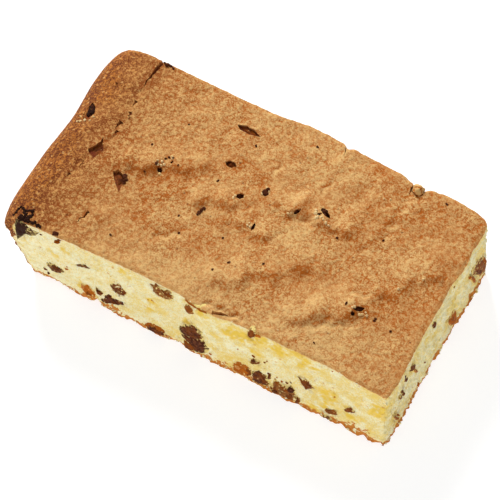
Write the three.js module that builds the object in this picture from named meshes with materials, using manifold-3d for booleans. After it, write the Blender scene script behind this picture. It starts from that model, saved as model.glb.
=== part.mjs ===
// Farmhouse cake: a slab of sultana sponge cut from a tray bake, with its raisins as separate pieces.
// Millimetres, +Z up. X runs along the slab, from the baked tin end (-X) to a cut end (+X).
// Y runs across it, from the front cut side (-Y) to the back one. The origin is under the slab's middle.
import * as THREE from "three";
import { mergeVertices } from "three/addons/utils/BufferGeometryUtils.js";
import Module from "manifold-3d";

// Driving dimensions of the slab
const LENGTH = 197;
const WIDTH = 105;
const HEIGHT = 44; // base to crust along the cut edges
const CROWN = 0.6; // how much higher the crust is along the middle
const FRONT_LEAN = 2.2; // each cut side's top edge stands back from its foot by its lean
const BACK_LEAN = 0.3;
const END_LEAN = 1.8;
const BACK_BULGE = 2.2; // how far the back cut swells out at the crust, where along it, and how widely
const BACK_BULGE_X = 4;
const BACK_BULGE_RUNS = [10.5, 25]; // towards the tin end and towards the cut end
const BACK_DENT = 2.2; // how far the crust is broken in beside the notch, where along it, and how widely
const BACK_DENT_X = 62;
const BACK_DENT_RUN = 4.5;
const BACK_CORNER = 3; // how far the back cut stands in at its corner with the cut end, and how widely
const BACK_CORNER_RUN = 14;
const BACK_CORNER_CURVE = 1.5; // shape of that curve: 1 is sharpest
const CORNER_TIP = 3.2; // how much further the crust is worn in at that corner, and how widely
const CORNER_TIP_RUN = 1.6;
const RAGGED = 0.45; // depth of the torn crumb on the cut sides
const BASE_TRIM = 1; // thickness cut off below to leave a flat base

// The tin end, which rounds over at the top and tapers in towards the base as the tin did
const TIN_ROUND = 21; // length over which the crust rounds down
const TIN_DROP = 12; // how far it comes down there
const TIN_TAPER = 13.9; // how far the base stands in from the widest point
const TIN_CURVE = 1.15; // shape of the taper: 1 is straight
const TIN_BOW = 3; // how far the end's corners stand back
const TIN_SWELL = 0.7; // how far the end swells out between them
const TIN_DENT = 1.4; // a shallow dent in the end, its place across the slab and its width
const TIN_DENT_Y = 9;
const TIN_DENT_RUN = 15;

// Facets along, across and up the slab, and the share of its length that the rounded end takes
const STEPS = [42, 22, 7];
const ROUND_SHARE = 0.13;

// Folds that the crust set in while it baked: crest line, height, and width of the gentle and the steep side
const FOLDS = [
  { from: [46, -33.5], to: [64, -22], rise: 1.7, gentle: 10, steep: 4 },
  { from: [65, -16], to: [86, 12], rise: 1.7, gentle: 10, steep: 4.2 },
  { from: [6, -35], to: [33, -13], rise: 1.8, gentle: 10, steep: 4.6 },
  { from: [14, 12], to: [44, 12.5], rise: 1.9, gentle: 9, steep: 4 },
  { from: [-56, -2.5], to: [-33, 9], rise: 1.9, gentle: 9, steep: 4 },
  { from: [-22, -5], to: [-7, 3], rise: 1.5, gentle: 7, steep: 3.5 },
  { from: [-2, -6], to: [12, -6], rise: 1.3, gentle: 6, steep: 3.5 },
  { from: [24, 40], to: [56, 30], rise: 0.9, gentle: 10, steep: 6 },
];

// Cracks and notches in the crust: ends of the line, width at the first end, and depth
const CRACKS = [
  { from: [-72.5, 56], to: [-75, 33], width: 1.8, depth: 4.5 },
  { from: [-62.5, -33], to: [-64, -42], width: 1.2, depth: 2.5 },
  { from: [56, 58], to: [58, 45], width: 4.4, depth: 8 },
  { from: [21.5, 57], to: [23.5, 47], width: 2.2, depth: 3 },
];

// Raisins: place on their side, length, width and thickness, turn in degrees, and how far they stand proud.
// A raisin under the crust has a negative proud value and lies in an open pocket.
const FRONT_RAISINS = [
  { at: [-87, 33], size: [15, 7.5, 8], turn: 80, proud: 1.4 },
  { at: [-70.2, 14.2], size: [9.2, 6.2, 6], turn: 4, proud: 0.8 },
  { at: [-55.3, 28.3], size: [8.4, 3, 4], turn: 27, proud: 0.3 },
  { at: [-53, 7.8], size: [10.5, 7, 6], turn: -55, proud: 1 },
  { at: [-39.5, 10], size: [14, 6.5, 7], turn: 32, proud: 1.2 },
  { at: [-37, 22.2], size: [11.6, 7.2, 6], turn: 92, proud: 0.8 },
  { at: [-18.3, 4], size: [10.5, 6.5, 6], turn: 0, proud: 1.2 },
  { at: [-15.3, 37.3], size: [12.5, 8.5, 7], turn: -10, proud: 0.8 },
  { at: [-1, 36.3], size: [8, 5, 5], turn: 80, proud: 0.8 },
  { at: [1.4, 13.4], size: [23, 12.5, 11], turn: -80, proud: 2 },
  { at: [30.2, 38.3], size: [7.5, 4.5, 5], turn: 72, proud: 0.8 },
  { at: [26.8, 6.8], size: [9.5, 7.5, 6], turn: 60, proud: 1 },
  { at: [32.5, 18.2], size: [5.5, 4.6, 5], turn: 40, proud: 0.6 },
  { at: [36.2, 7.2], size: [11, 7.6, 7], turn: -80, proud: 1.2 },
  { at: [48.4, 6.6], size: [13, 10, 8], turn: 10, proud: 1.5 },
  { at: [58, 20.8], size: [9.5, 6.5, 6], turn: -55, proud: 0.8 },
  { at: [70.5, 5], size: [8.5, 7, 6], turn: 25, proud: 1 },
  { at: [80.2, 18], size: [6.5, 4.5, 5], turn: 50, proud: 0.8 },
];
const END_RAISINS = [
  { at: [-40.8, 10.2], size: [11, 5.5, 6], turn: 80, proud: 0.8 },
  { at: [-36.5, 25.8], size: [8, 5, 5], turn: 72, proud: 0.8 },
  { at: [-34, 36.8], size: [7, 4, 5], turn: 65, proud: 0.4 },
  { at: [-26.5, 33], size: [8, 5, 5], turn: 68, proud: 0.6 },
  { at: [-5, 37.3], size: [7, 5, 5], turn: 78, proud: 0.6 },
  { at: [13.5, 10.8], size: [11.5, 8.5, 7], turn: 75, proud: 1.2 },
  { at: [41.2, 14], size: [18.5, 10, 9], turn: 80, proud: 2 },
];
const TOP_RAISINS = [
  { at: [-89, 14.5], size: [10, 5.5, 4.5], turn: 97, proud: -1.4 },
  { at: [-76, -3], size: [11, 7, 5], turn: 96, proud: -2.2 },
  { at: [-59, -12], size: [11.5, 7.5, 5], turn: -58, proud: -1.6 },
  { at: [-44.5, 4.5], size: [8, 6, 4.5], turn: 64, proud: -0.3 },
  { at: [-21, 39], size: [12, 4, 4.5], turn: -4, proud: -1.8 },
  { at: [-18.5, 19.5], size: [6.5, 4.2, 4.5], turn: 8, proud: -1.2 },
  { at: [-8.2, 7], size: [5.5, 5, 4.5], turn: 20, proud: 0.2 },
  { at: [5.3, -4.5], size: [7, 4.5, 4.5], turn: 75, proud: -0.4 },
  { at: [18, 11], size: [6, 4, 4.5], turn: 38, proud: -0.4 },
  { at: [29.5, 16.5], size: [8, 6, 5], turn: -28, proud: 0.5 },
  { at: [65, -19.5], size: [9, 5, 5], turn: 52, proud: 0.3 },
  { at: [61, 48], size: [6.5, 5.5, 6], turn: 10, proud: 1.6 },
];

// Raisins of the back cut side, spread by a rule: one in each cell of a grid
const BACK_COLUMNS = 6;
const BACK_ROWS = 2;
const BACK_MARGIN = 12; // clear of the slab's ends
const BACK_SIZE = [9, 6, 6];
const BACK_SPREAD = 0.3; // how far a raisin strays in its cell, and how much sizes differ, as a share
const BACK_PROUD = 1.4;
const BACK_SEED = 7;

const GAP = 0.35; // between a raisin and the crumb round it
const POCKET_RISE = 2; // how far a pocket's shape passes the crust, so that it is open
const WRINKLE = 0.07; // depth of a raisin's lumps, as a share of its radius
const CUTTER_RISE = 5; // how far a crack's cutter starts above the crust

const SPONGE = new THREE.MeshStandardMaterial({ color: 0xc98d53, roughness: 0.85, metalness: 0 });
const RAISIN = new THREE.MeshStandardMaterial({ color: 0x4a2a1e, roughness: 0.5, metalness: 0 });

const { lerp, degToRad, clamp } = THREE.MathUtils;
const wasm = await Module();
wasm.setup();

// A geometry with only positions and shared vertices, ready to become a closed solid.
function welded(geometry) {
  geometry.deleteAttribute("normal");
  geometry.deleteAttribute("uv");
  return mergeVertices(geometry, 1e-4);
}

function toSolid(geometry) {
  const closed = welded(geometry);
  const vertProperties = new Float32Array(closed.attributes.position.array);
  const triVerts = new Uint32Array(closed.index.array);
  return new wasm.Manifold(new wasm.Mesh({ numProp: 3, vertProperties, triVerts }));
}

function toGeometry(solid) {
  const mesh = solid.getMesh();
  const geometry = new THREE.BufferGeometry();
  geometry.setAttribute("position", new THREE.BufferAttribute(mesh.vertProperties, 3));
  geometry.setIndex(new THREE.BufferAttribute(mesh.triVerts, 1));
  geometry.computeVertexNormals();
  return geometry;
}

// Height that one fold adds at a point: a ridge along its crest line, steep on the right of its direction.
function foldRise(x, y, fold) {
  const [x0, y0] = fold.from;
  const run = new THREE.Vector2(fold.to[0] - x0, fold.to[1] - y0);
  const length = run.length();
  const along = ((x - x0) * run.x + (y - y0) * run.y) / length;
  const beside = ((y - y0) * run.x - (x - x0) * run.y) / length;
  const past = Math.max(-along, along - length, 0);
  const width = beside > 0 ? fold.gentle : fold.steep;
  return fold.rise * Math.exp(-((beside / width) ** 2) - (past / fold.gentle) ** 2);
}

// Smooth unevenness between -1 and 1, from waves of unlike length.
function unevenness(a, b) {
  const first = Math.sin(0.31 * a + 1.9 * Math.sin(0.17 * b));
  const second = Math.sin(0.37 * b - 1.6 * Math.sin(0.13 * a));
  return (first + second) / 2;
}

// How far the tin end stands in at a share of the half width.
function tinBow(side) {
  const dent = Math.exp(-((((side * WIDTH) / 2 - TIN_DENT_Y) / TIN_DENT_RUN) ** 2));
  return TIN_BOW * side ** 8 + TIN_DENT * dent - TIN_SWELL;
}

// The back cut's foot at a place along the slab.
function backFoot(x) {
  const short = Math.max(LENGTH / 2 - x, 0) / BACK_CORNER_RUN;
  return WIDTH / 2 - BACK_CORNER * Math.exp(-(short ** BACK_CORNER_CURVE));
}

// The crust's back edge at a place along the slab.
function backEdge(x) {
  const run = BACK_BULGE_RUNS[x < BACK_BULGE_X ? 0 : 1];
  const bulge = BACK_BULGE * Math.exp(-(((x - BACK_BULGE_X) / run) ** 2));
  const dent = BACK_DENT * Math.exp(-(((x - BACK_DENT_X) / BACK_DENT_RUN) ** 2));
  const short = Math.max(LENGTH / 2 - END_LEAN - x, 0);
  return backFoot(x) - BACK_LEAN + bulge - dent - CORNER_TIP * Math.exp(-short / CORNER_TIP_RUN);
}

// A point of the crust, from shares of the slab's length and width.
function crustPoint(along, across) {
  const side = 2 * across - 1;
  const turn = (Math.PI / 2) * clamp(1 - along / ROUND_SHARE, 0, 1);
  const flat = clamp((along - ROUND_SHARE) / (1 - ROUND_SHARE), 0, 1);
  const startX = -LENGTH / 2 + TIN_ROUND;
  const bow = tinBow(side) * Math.sin(turn);
  const endX = LENGTH / 2 - END_LEAN;
  const x = lerp(startX, endX, flat) - TIN_ROUND * Math.sin(turn) + bow;
  const y = lerp(-WIDTH / 2 + FRONT_LEAN, backEdge(x), across);
  const folds = FOLDS.reduce((sum, fold) => sum + foldRise(x, y, fold), 0);
  const crown = CROWN * (1 - side ** 2) * Math.cos(turn);
  const z = HEIGHT - TIN_DROP * (1 - Math.cos(turn)) + crown + folds + RAGGED * unevenness(x, y);
  return new THREE.Vector3(x, y, z);
}

// A point of the base, from the same shares.
function basePoint(along, across) {
  const side = 2 * across - 1;
  const bow = tinBow(side) * (1 - along);
  const x = lerp(-LENGTH / 2 + TIN_TAPER + bow, LENGTH / 2, along);
  return new THREE.Vector3(x, lerp(-WIDTH / 2, backFoot(x), across), -BASE_TRIM);
}

// A point of the slab's skin. Cut sides are a little torn, and the tin end follows the tin's taper.
function slabPoint(along, across, up) {
  const crust = crustPoint(along, across);
  const base = basePoint(along, across);
  const lean = 1 - (1 - up) ** TIN_CURVE;
  const point = base.clone().lerp(crust, up);
  point.x = lerp(base.x, crust.x, lean);
  const torn = RAGGED * Math.sin(Math.PI * up);
  if (across < 0.001) point.y += torn * unevenness(point.x, point.z);
  if (across > 0.999) point.y += torn * unevenness(point.z, point.x);
  if (along > 0.999) point.x += torn * unevenness(point.y, point.z);
  return point;
}

function slab() {
  const geometry = welded(new THREE.BoxGeometry(1, 1, 1, ...STEPS));
  const positions = geometry.attributes.position;
  for (let i = 0; i < positions.count; i++) {
    const share = new THREE.Vector3().fromBufferAttribute(positions, i).addScalar(0.5);
    const point = slabPoint(share.x, share.y, share.z);
    positions.setXYZ(i, point.x, point.y, point.z);
  }
  const room = new THREE.BoxGeometry(2 * LENGTH, 2 * WIDTH, 2 * HEIGHT).translate(0, 0, HEIGHT);
  return toSolid(geometry).intersect(toSolid(room));
}

// The crust's height over a point of the plan, found by closing in on the point's share of the length.
function crustHeight(x, y) {
  const across = (y + WIDTH / 2 - FRONT_LEAN) / (WIDTH - FRONT_LEAN - BACK_LEAN);
  let low = 0;
  let high = 1;
  for (let i = 0; i < 30; i++) {
    const middle = (low + high) / 2;
    if (crustPoint(middle, across).x < x) low = middle;
    else high = middle;
  }
  return crustPoint(low, across).z;
}

// A wedge that cuts a crack: widest at its first end and at the crust, with a jog half way along.
function crackCutter({ from, to, width, depth }) {
  const start = new THREE.Vector2(...from);
  const run = new THREE.Vector2(...to).sub(start);
  const sideways = new THREE.Vector2(-run.y, run.x).normalize();
  const onLine = (share, offset) =>
    start.clone().addScaledVector(run, share).addScaledVector(sideways, offset);
  const outline = new THREE.Shape([
    onLine(0, -width / 2),
    onLine(0.5, width / 4),
    onLine(1, 0),
    onLine(0.55, width * 0.75),
    onLine(0, width / 2),
  ]);
  const cutter = new THREE.ExtrudeGeometry(outline, { depth: depth + CUTTER_RISE, bevelEnabled: false });
  const inside = onLine(0.7, 0);
  return toSolid(cutter.translate(0, 0, crustHeight(inside.x, inside.y) - depth));
}

// A lumpy raisin about its own middle, with its length along X and its thickness along Z.
// Lifting its upper half makes the same shape longer along Z.
function raisinGeometry([length, width, thickness], seed, lift) {
  const geometry = welded(new THREE.IcosahedronGeometry(1, 1));
  const positions = geometry.attributes.position;
  for (let i = 0; i < positions.count; i++) {
    const p = new THREE.Vector3().fromBufferAttribute(positions, i);
    const lump = 1 + WRINKLE * (Math.sin(4 * p.x + 5 * p.y + seed) + Math.sin(6 * p.z - 3 * p.y + 2 * seed));
    const rise = p.z > 0.01 ? lift : 0;
    p.multiplyScalar(lump / 2).multiply(new THREE.Vector3(length, width, thickness));
    positions.setXYZ(i, p.x, p.y, p.z + rise);
  }
  return geometry;
}

// Each side's directions: across the face, up the face, and out of it.
const SIDES = {
  front: [new THREE.Vector3(1, 0, 0), new THREE.Vector3(0, 0, 1), new THREE.Vector3(0, -1, 0)],
  end: [new THREE.Vector3(0, 1, 0), new THREE.Vector3(0, 0, 1), new THREE.Vector3(1, 0, 0)],
  top: [new THREE.Vector3(1, 0, 0), new THREE.Vector3(0, 1, 0), new THREE.Vector3(0, 0, 1)],
  back: [new THREE.Vector3(-1, 0, 0), new THREE.Vector3(0, 0, 1), new THREE.Vector3(0, 1, 0)],
};

// The place of a raisin on the skin of one side, before it is sunk in.
function skinPoint(side, [a, b]) {
  const up = b / HEIGHT;
  if (side === "front") return new THREE.Vector3(a, -WIDTH / 2 + FRONT_LEAN * up, b);
  if (side === "back") return new THREE.Vector3(a, lerp(backFoot(a), backEdge(a), up), b);
  if (side === "end") return new THREE.Vector3(LENGTH / 2 - END_LEAN * up, a, b);
  return new THREE.Vector3(a, b, crustHeight(a, b));
}

function placed(geometry, side, middle, turn) {
  const [across, upward, outward] = SIDES[side];
  const frame = new THREE.Matrix4().makeBasis(across, upward, outward).setPosition(middle);
  return geometry.applyMatrix4(new THREE.Matrix4().makeRotationZ(degToRad(turn))).applyMatrix4(frame);
}

// A raisin and the pocket that the crumb leaves round it, open towards the outside.
function raisinAndPocket(side, { at, size, turn, proud }, seed) {
  const outward = SIDES[side][2];
  const thickness = size[2];
  const middle = skinPoint(side, at).addScaledVector(outward, proud - thickness / 2);
  const lift = Math.max(POCKET_RISE - proud, 0);
  const pocketSize = size.map((part) => part + 2 * GAP);
  return {
    raisin: placed(raisinGeometry(size, seed, 0), side, middle, turn),
    pocket: placed(raisinGeometry(pocketSize, seed, lift), side, middle, turn),
  };
}

// Repeatable draws between -1 and 1.
function drawer(seed) {
  let state = seed;
  return () => {
    state = (state * 16807) % 2147483647;
    return (2 * state) / 2147483647 - 1;
  };
}

// Raisins of the back side, one in each cell of a grid, moved, sized and turned by repeatable draws.
function backRaisins() {
  const draw = drawer(BACK_SEED);
  const cellWidth = (LENGTH - TIN_ROUND - 2 * BACK_MARGIN) / BACK_COLUMNS;
  const cellHeight = HEIGHT / BACK_ROWS;
  const raisins = [];
  for (let row = 0; row < BACK_ROWS; row++) {
    for (let column = 0; column < BACK_COLUMNS; column++) {
      const x = -LENGTH / 2 + TIN_ROUND + BACK_MARGIN + (column + 0.5 + BACK_SPREAD * draw()) * cellWidth;
      const z = (row + 0.5 + 0.6 * BACK_SPREAD * draw()) * cellHeight;
      const grow = 1 + BACK_SPREAD * draw();
      const size = BACK_SIZE.map((part) => part * grow);
      raisins.push({ at: [x, z], size, turn: 90 * draw(), proud: BACK_PROUD });
    }
  }
  return raisins;
}

function named(geometry, name, material) {
  const mesh = new THREE.Mesh(geometry, material);
  mesh.name = name;
  return mesh;
}

const cake = new THREE.Group();
let sponge = slab();
for (const crack of CRACKS) sponge = sponge.subtract(crackCutter(crack));

const bySide = { front: FRONT_RAISINS, end: END_RAISINS, top: TOP_RAISINS, back: backRaisins() };
let seed = 0;
for (const [side, raisins] of Object.entries(bySide)) {
  raisins.forEach((facts, index) => {
    seed += 1;
    const { raisin, pocket } = raisinAndPocket(side, facts, seed);
    sponge = sponge.subtract(toSolid(pocket));
    const name = `raisin_${side}_${String(index + 1).padStart(2, "0")}`;
    cake.add(named(toGeometry(toSolid(raisin)), name, RAISIN));
  });
}
cake.add(named(toGeometry(sponge), "sponge", SPONGE));

export default cake;
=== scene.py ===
"""Farmhouse cake: a slab of sultana sponge with a folded crust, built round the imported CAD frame."""

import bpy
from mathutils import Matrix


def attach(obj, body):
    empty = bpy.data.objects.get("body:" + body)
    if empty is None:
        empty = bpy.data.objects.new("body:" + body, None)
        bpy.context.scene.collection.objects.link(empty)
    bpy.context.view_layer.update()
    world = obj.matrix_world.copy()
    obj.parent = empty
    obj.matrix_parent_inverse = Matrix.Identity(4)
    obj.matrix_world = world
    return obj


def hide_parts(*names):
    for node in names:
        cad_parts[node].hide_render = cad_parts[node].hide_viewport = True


bl_info = {
    "name": "Farmhouse Cake",
    "version": (1, 0, 0),
    "blender": (4, 5, 0),
    "location": "View3D > Sidebar > Cake",
    "description": "Models a cut slab of fruit sponge with its crust, raisins and crumbs",
    "category": "Add Mesh",
}

import math
from types import SimpleNamespace

import bpy
import numpy as np
from bpy.props import FloatProperty, FloatVectorProperty, IntProperty, PointerProperty
from bpy.types import Operator, Panel, PropertyGroup
from mathutils import Matrix, Vector, noise

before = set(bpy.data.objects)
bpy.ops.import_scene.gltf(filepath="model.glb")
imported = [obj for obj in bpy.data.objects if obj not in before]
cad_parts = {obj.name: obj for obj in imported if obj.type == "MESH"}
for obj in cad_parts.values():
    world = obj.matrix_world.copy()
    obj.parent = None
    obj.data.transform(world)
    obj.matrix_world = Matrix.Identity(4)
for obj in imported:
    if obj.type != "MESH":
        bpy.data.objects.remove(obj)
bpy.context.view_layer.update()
MM = 0.001

# Share of the slab's length that the rounded tin end takes in the grid
ROUND_SHARE = 0.13

# Shape of the tin end's taper: 1 is straight
TIN_CURVE = 1.15

# Place across and half width of the dent in the tin end, in mm
TIN_DENT = (9, 15)

# A share of the grid this near to 0 or 1 lies on that side of the slab
EDGE = 0.001

# Unevenness as sums of noise: height in mm, size of the features in mm, and seed
TORN = ((0.45, 13, 3), (0.4, 4.6, 5), (0.42, 2.1, 7))
FRINGE = ((0.7, 5.5, 9), (0.5, 1.7, 10))
CORNER_CRUMBLE = ((1.5, 2.2, 15), (1.1, 1.1, 16))
TIN_SKIN = ((0.35, 9, 11), (0.15, 2.4, 12))
TIN_NOTCHES = ((1, 3.4, 13), (0.6, 1.3, 14))
CRUST_LUMPS = ((0.5, 12, 21), (0.32, 5.5, 22))
BLISTERS = ((0.6, 2.3, 23), (0.7, 1.35, 24))
BLISTER_HEIGHT = 0.24

# Step in mm that the crust's slope is measured over, and the slope that counts as full shade
SHADE_STEP = 0.8
SHADE_SLOPE = 0.35

# Shafts through the crust: how jagged the rim is and how deep the shaft goes in mm, for holes and for slits
HOLE_SHAFT = (0.5, 1.5)
SLIT_SHAFT = (0.25, 2.3)
SHAFT_CORNERS = 56

# How far a raisin's top lies under the skin in mm, in a hole and under a slit
HOLE_COVER = 1.0
SLIT_COVER = 0.9

# Corners of a slit as shares of half its length and half its width
SLIT_SHAPE = np.array(((1, 0), (0.45, 0.85), (-0.4, 1), (-1, 0.1), (-0.5, -0.9), (0.35, -1)))

# How far the cutters stand out over the crust, in mm
SHAFT_RISE = 4
CRACK_RISE = 6
POCKET_RISE = 3.2

# Space between a raisin of the crust and its pocket in mm
POCKET_GAP = 0.25

# Steps along a crack, and round the outline of a slice
CRACK_STEPS = 28
OUTLINE_STEPS = 160

# Where the browner skin of the tin end begins to fade and how far it fades over, in mm from that end
BROWN_START = 10
BROWN_RUN = 22

# Edges sharper than this many degrees stay sharp
SMOOTH_ANGLE = 50

# Step in space between the noises of one seed and the next
SEED_SHIFT = (17.3, 5.1, 9.7)

# How light the slices of hidden raisins are and how much crumb covers them, each used in turn
HIDDEN_TONES = (0.04, 0.55, 0.14, 0.0, 0.8, 0.22)
HIDDEN_CRUMB = (0.2, 0.45, 0.1, 0.3)

# How light the specks on the crust and the burnt skin are
SPECK_TONE = -0.14
BURNT_TONE = -0.3

# Spacing and spread of the lumps that make up the burnt skin, in mm
BURNT_SPACING = 0.45
BURNT_SPREAD = 0.3

# Seeds of the burnt skin and of the specks' shapes
BURNT_SEED = 5
SPECK_SEED = 300

# How flat the specks of fruit and the crumbs lie: 1 is round
SPECK_FLATTEN = 0.6
CRUMB_FLATTEN = 0.9

# How brown the crumbs on the crust are, and their radius as a share of their size
BAKED = 0.7
CRUMB_SHARE = 0.45

# Camera's target in mm, its sensor in mm, and its shift as a share of the picture
TARGET = (2.3, -2.0, 19.0)
SENSOR = 36
SHIFT = (0.002, -0.006)

# Size of the floor in metres
FLOOR_SIZE = 6

# Place and size in metres of the main light and of the weak one in front
KEY_LIGHT = ((-1.33, 1.33, 1.33), 0.64)
FILL_LIGHT = ((0.45, -1.2, 0.4), 0.8)

# Strength of each material's bump, and its height in metres
CRUST_BUMP = (0.6, 0.00028)
SPONGE_BUMP = (0.6, 0.0004)
CRUMB_BUMP = (0.4, 0.0002)
RAISIN_BUMP = (0.8, 0.0007)

# How matt each material is, and how much light passes through the cake
CAKE_FINISH = {
    "Roughness": 0.86,
    "Specular IOR Level": 0.25,
    "Subsurface Weight": 0.1,
    "Subsurface Radius": (1.0, 0.7, 0.35),
    "Subsurface Scale": 0.0015,
}
CRUMB_FINISH = {"Roughness": 0.9, "Specular IOR Level": 0.3}
FLOOR_FINISH = {
    "Base Color": (0.42, 0.42, 0.42, 1.0),
    "Roughness": 0.9,
    "Emission Color": (1.0, 1.0, 1.0, 1.0),
    "Emission Strength": 0.76,
}

# Dents broken into the crust's back edge in mm: place along, depth and half width
BACK_DENTS = (
    (23.4, 1.5, 1.8), (57, 1.8, 3.5), (63.5, 2.8, 2.2), (68.5, 1, 3),
)

# How much further the crust's front edge stands back in mm: place along and distance
FRONT_WAVES = (
    (-90, -0.6), (-68, -0.6), (-60, 0), (-45, 0.4), (-30, 1.2), (-8, 1.4), (1, 0), (6, -0.6), (13, -0.8),
    (20, 0.8), (46, 1.1), (58, 1.5), (71, 1.8), (79, 0.6), (92, 0.4), (98, 0.1),
)

# The same for the crust's edge at the cut end: place across and distance
END_WAVES = (
    (-50, 0), (-42, -0.6), (-30, -0.35), (-20, 0), (-6, 0.4), (4, 0.35), (15, 0.9), (22, 0.2), (30, -0.6),
    (37, 0.5), (44, 0.2), (52, 0),
)

# Folds of the crust in mm: crest line, height, and width of the gentle and the steep side
FOLDS = (
    ((46, -33.5), (64, -22), 1.7, 10, 3), ((65, -16), (86, 12), 1.7, 10, 3.4),
    ((6, -35), (33, -13), 1.8, 10, 4.2), ((14, 12), (44, 12.5), 1.9, 9, 3.2),
    ((-56, -2.5), (-33, 9), 1.9, 9, 3.4), ((-22, -5), (-7, 3), 1.5, 7, 3), ((-2, -6), (12, -6), 1.3, 6, 3),
    ((24, 40), (56, 30), 0.9, 10, 6),
)

# Fine creases of the crust in mm: ends of the line, depth and width
CREASES = (
    ((-74, 36), (-71.5, -6), 0.4, 1.4), ((1.4, 30), (1.2, 23), 0.5, 1), ((25.6, 33), (24.5, 25), 0.5, 1),
    ((6, -48), (24, -47), 0.8, 1.2), ((-78, -9), (-79, -22), 0.5, 1), ((60, -13), (72, -9), 0.5, 1.2),
    ((-30, -30), (-22, -24), 0.4, 1.2), ((58.5, 44), (60, 18), 0.6, 2.2), ((49, -37), (64, -28), 0.5, 1.3),
    ((17, 8.5), (40, 9), 0.4, 1.3),
)

# Cracks and notches of the crust in mm: ends of the line, width at the first end, and depth
CRACKS = (
    ((-72.4, 56), (-74.2, 33.5), 3, 2), ((-72.8, 27.5), (-73, 23), 1.7, 0.8),
    ((-72.2, 21), (-70.8, 16.5), 1.7, 0.8), ((-73, 14.5), (-73.5, 10), 1.9, 0.9),
    ((-72.3, 9.5), (-72.6, 5), 1.8, 0.9), ((-77.5, -11.5), (-77.4, -16.5), 1.6, 0.8),
    ((-79.5, -20), (-80.5, -23), 1.3, 0.7), ((-86, 32), (-85, 28.6), 1.4, 0.8),
    ((-62, -33), (-64, -42), 1.5, 2), ((57.3, 58), (58.3, 44.5), 4.7, 9), ((21.5, 57), (23.5, 47), 1.4, 3),
    ((10.6, -50.2), (24.4, -46.2), 1.5, 0.9),
)

# Broad patches of the crust in mm: place, radius, and how much darker it is, less than 0 for a paler one
CRUST_PATCHES = (
    (-77, 20, 9, -0.7), (-45, -6, 11, 0.55), (-32, -2, 10, 0.8), (-43, -40, 9, 0.6), (9, -43, 8, 0.6),
    (24, -41, 8, 0.45), (52, -44, 8, 0.3), (84, -34, 13, -0.8), (64, -33, 8, -0.45), (80, 8, 9, -0.6),
    (42, 52, 8, 0.7), (12, 27, 9, -0.45), (27, 2, 8, -0.5), (-1, -15, 7, -0.5),
)

# Patches of egg-yellow crumb on the front side in mm: place along and up, and radius
YOLK_PATCHES = (
    (22.5, 34.5, 5), (26, 36, 4), (19.5, 33, 3.5), (32, 35, 2.5), (43.5, 38, 5), (52, 42, 4),
    (57, 38, 3.5), (61.5, 36.5, 1.8), (34.5, 41, 4), (32, 26, 2.5), (69.5, 19.5, 5), (94, 31.5, 3),
    (92, 26.5, 3.5), (62, 3.5, 4), (55, 33, 2.2), (68, 11, 2.5), (82, 13, 3), (12.2, 25.8, 2.2),
    (5.5, 39.5, 3), (-3, 24, 2.5), (-20, 25, 3), (-21, 18, 1.8), (-32.5, 36, 3), (-35.5, 39, 2.5),
    (-57.5, 11.5, 3), (-65, 34.5, 1.6), (-71.5, 27.5, 2.5), (-84, 25, 1.5), (-92, 32, 4),
)

# Bites out of the front's lower edge in mm: place along, depth and half width; a negative one stands out
BASE_BITES = (
    (-71, 1.6, 11), (-49, 2.6, 2), (-31, 0.8, 3), (-8, 1.4, 3), (25.5, 0.8, 2), (47.5, -0.8, 6),
    (77, 1, 2.5), (88, 1.3, 1.5), (96, 1.4, 2),
)

# Places where the browned base reaches up the front in mm: place along, extra height and half width
SCORCHES = (
    (85.5, 5, 7), (-39, 4, 6), (-53, 3, 4), (18, 1.5, 6), (29, 2, 4), (49, 2, 6),
)

# Torn holes over sunken raisins in mm: corners of the hole, along and across in turn
HOLES = {
    "raisin_top_01":
        (-91.2, 19.5, -88.2, 17.6, -86.2, 13, -87.2, 8.6, -90, 7, -91.8, 10, -92.4, 15),
    "raisin_top_02":
        (-76.2, 4.7, -74.4, 1, -72, -2.5, -74.3, -9.6, -77.8, -7.3, -79.8, -5.7, -77.5, -2.4, -76, 1),
    "raisin_top_03":
        (-63.8, -9.7, -62, -7.3, -58.7, -8.7, -55.5, -10.5, -54.6, -13, -55.4, -15.2, -54.5, -19.4,
         -57.3, -16.8, -61.3, -13),
    "raisin_top_05":
        (-27.5, 38.9, -23, 40.8, -18.2, 40.4, -12.6, 38.2, -18.9, 36.2, -24.6, 36.6),
}

# Slits that bare a sliver of a raisin under the crust: place, length and width in mm, turn in degrees
SLITS = {
    "raisin_top_04": ((-45.2, 6.7, 1.9, 1.6, 0), (-41.9, 6.4, 2.8, 1.3, 90), (-45, 0.6, 3.8, 2.6, -35)),
    "raisin_top_06": ((-18.7, 19, 6.8, 4, 5),),
    "raisin_top_07": ((-6.7, 6.2, 5, 3.6, 60),),
    "raisin_top_08": ((6, -4.7, 5.4, 1.8, 99),),
    "raisin_top_09": ((19.5, 11.2, 4.8, 1.8, 60),),
    "raisin_top_10": ((31.2, 16.6, 7.2, 3, -27), (28.6, 14.8, 3.4, 1.8, 50)),
    "raisin_top_11": ((66.4, -18.8, 6.6, 2.5, 38), (65, -22.2, 2.8, 2.4, -50)),
}

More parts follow.
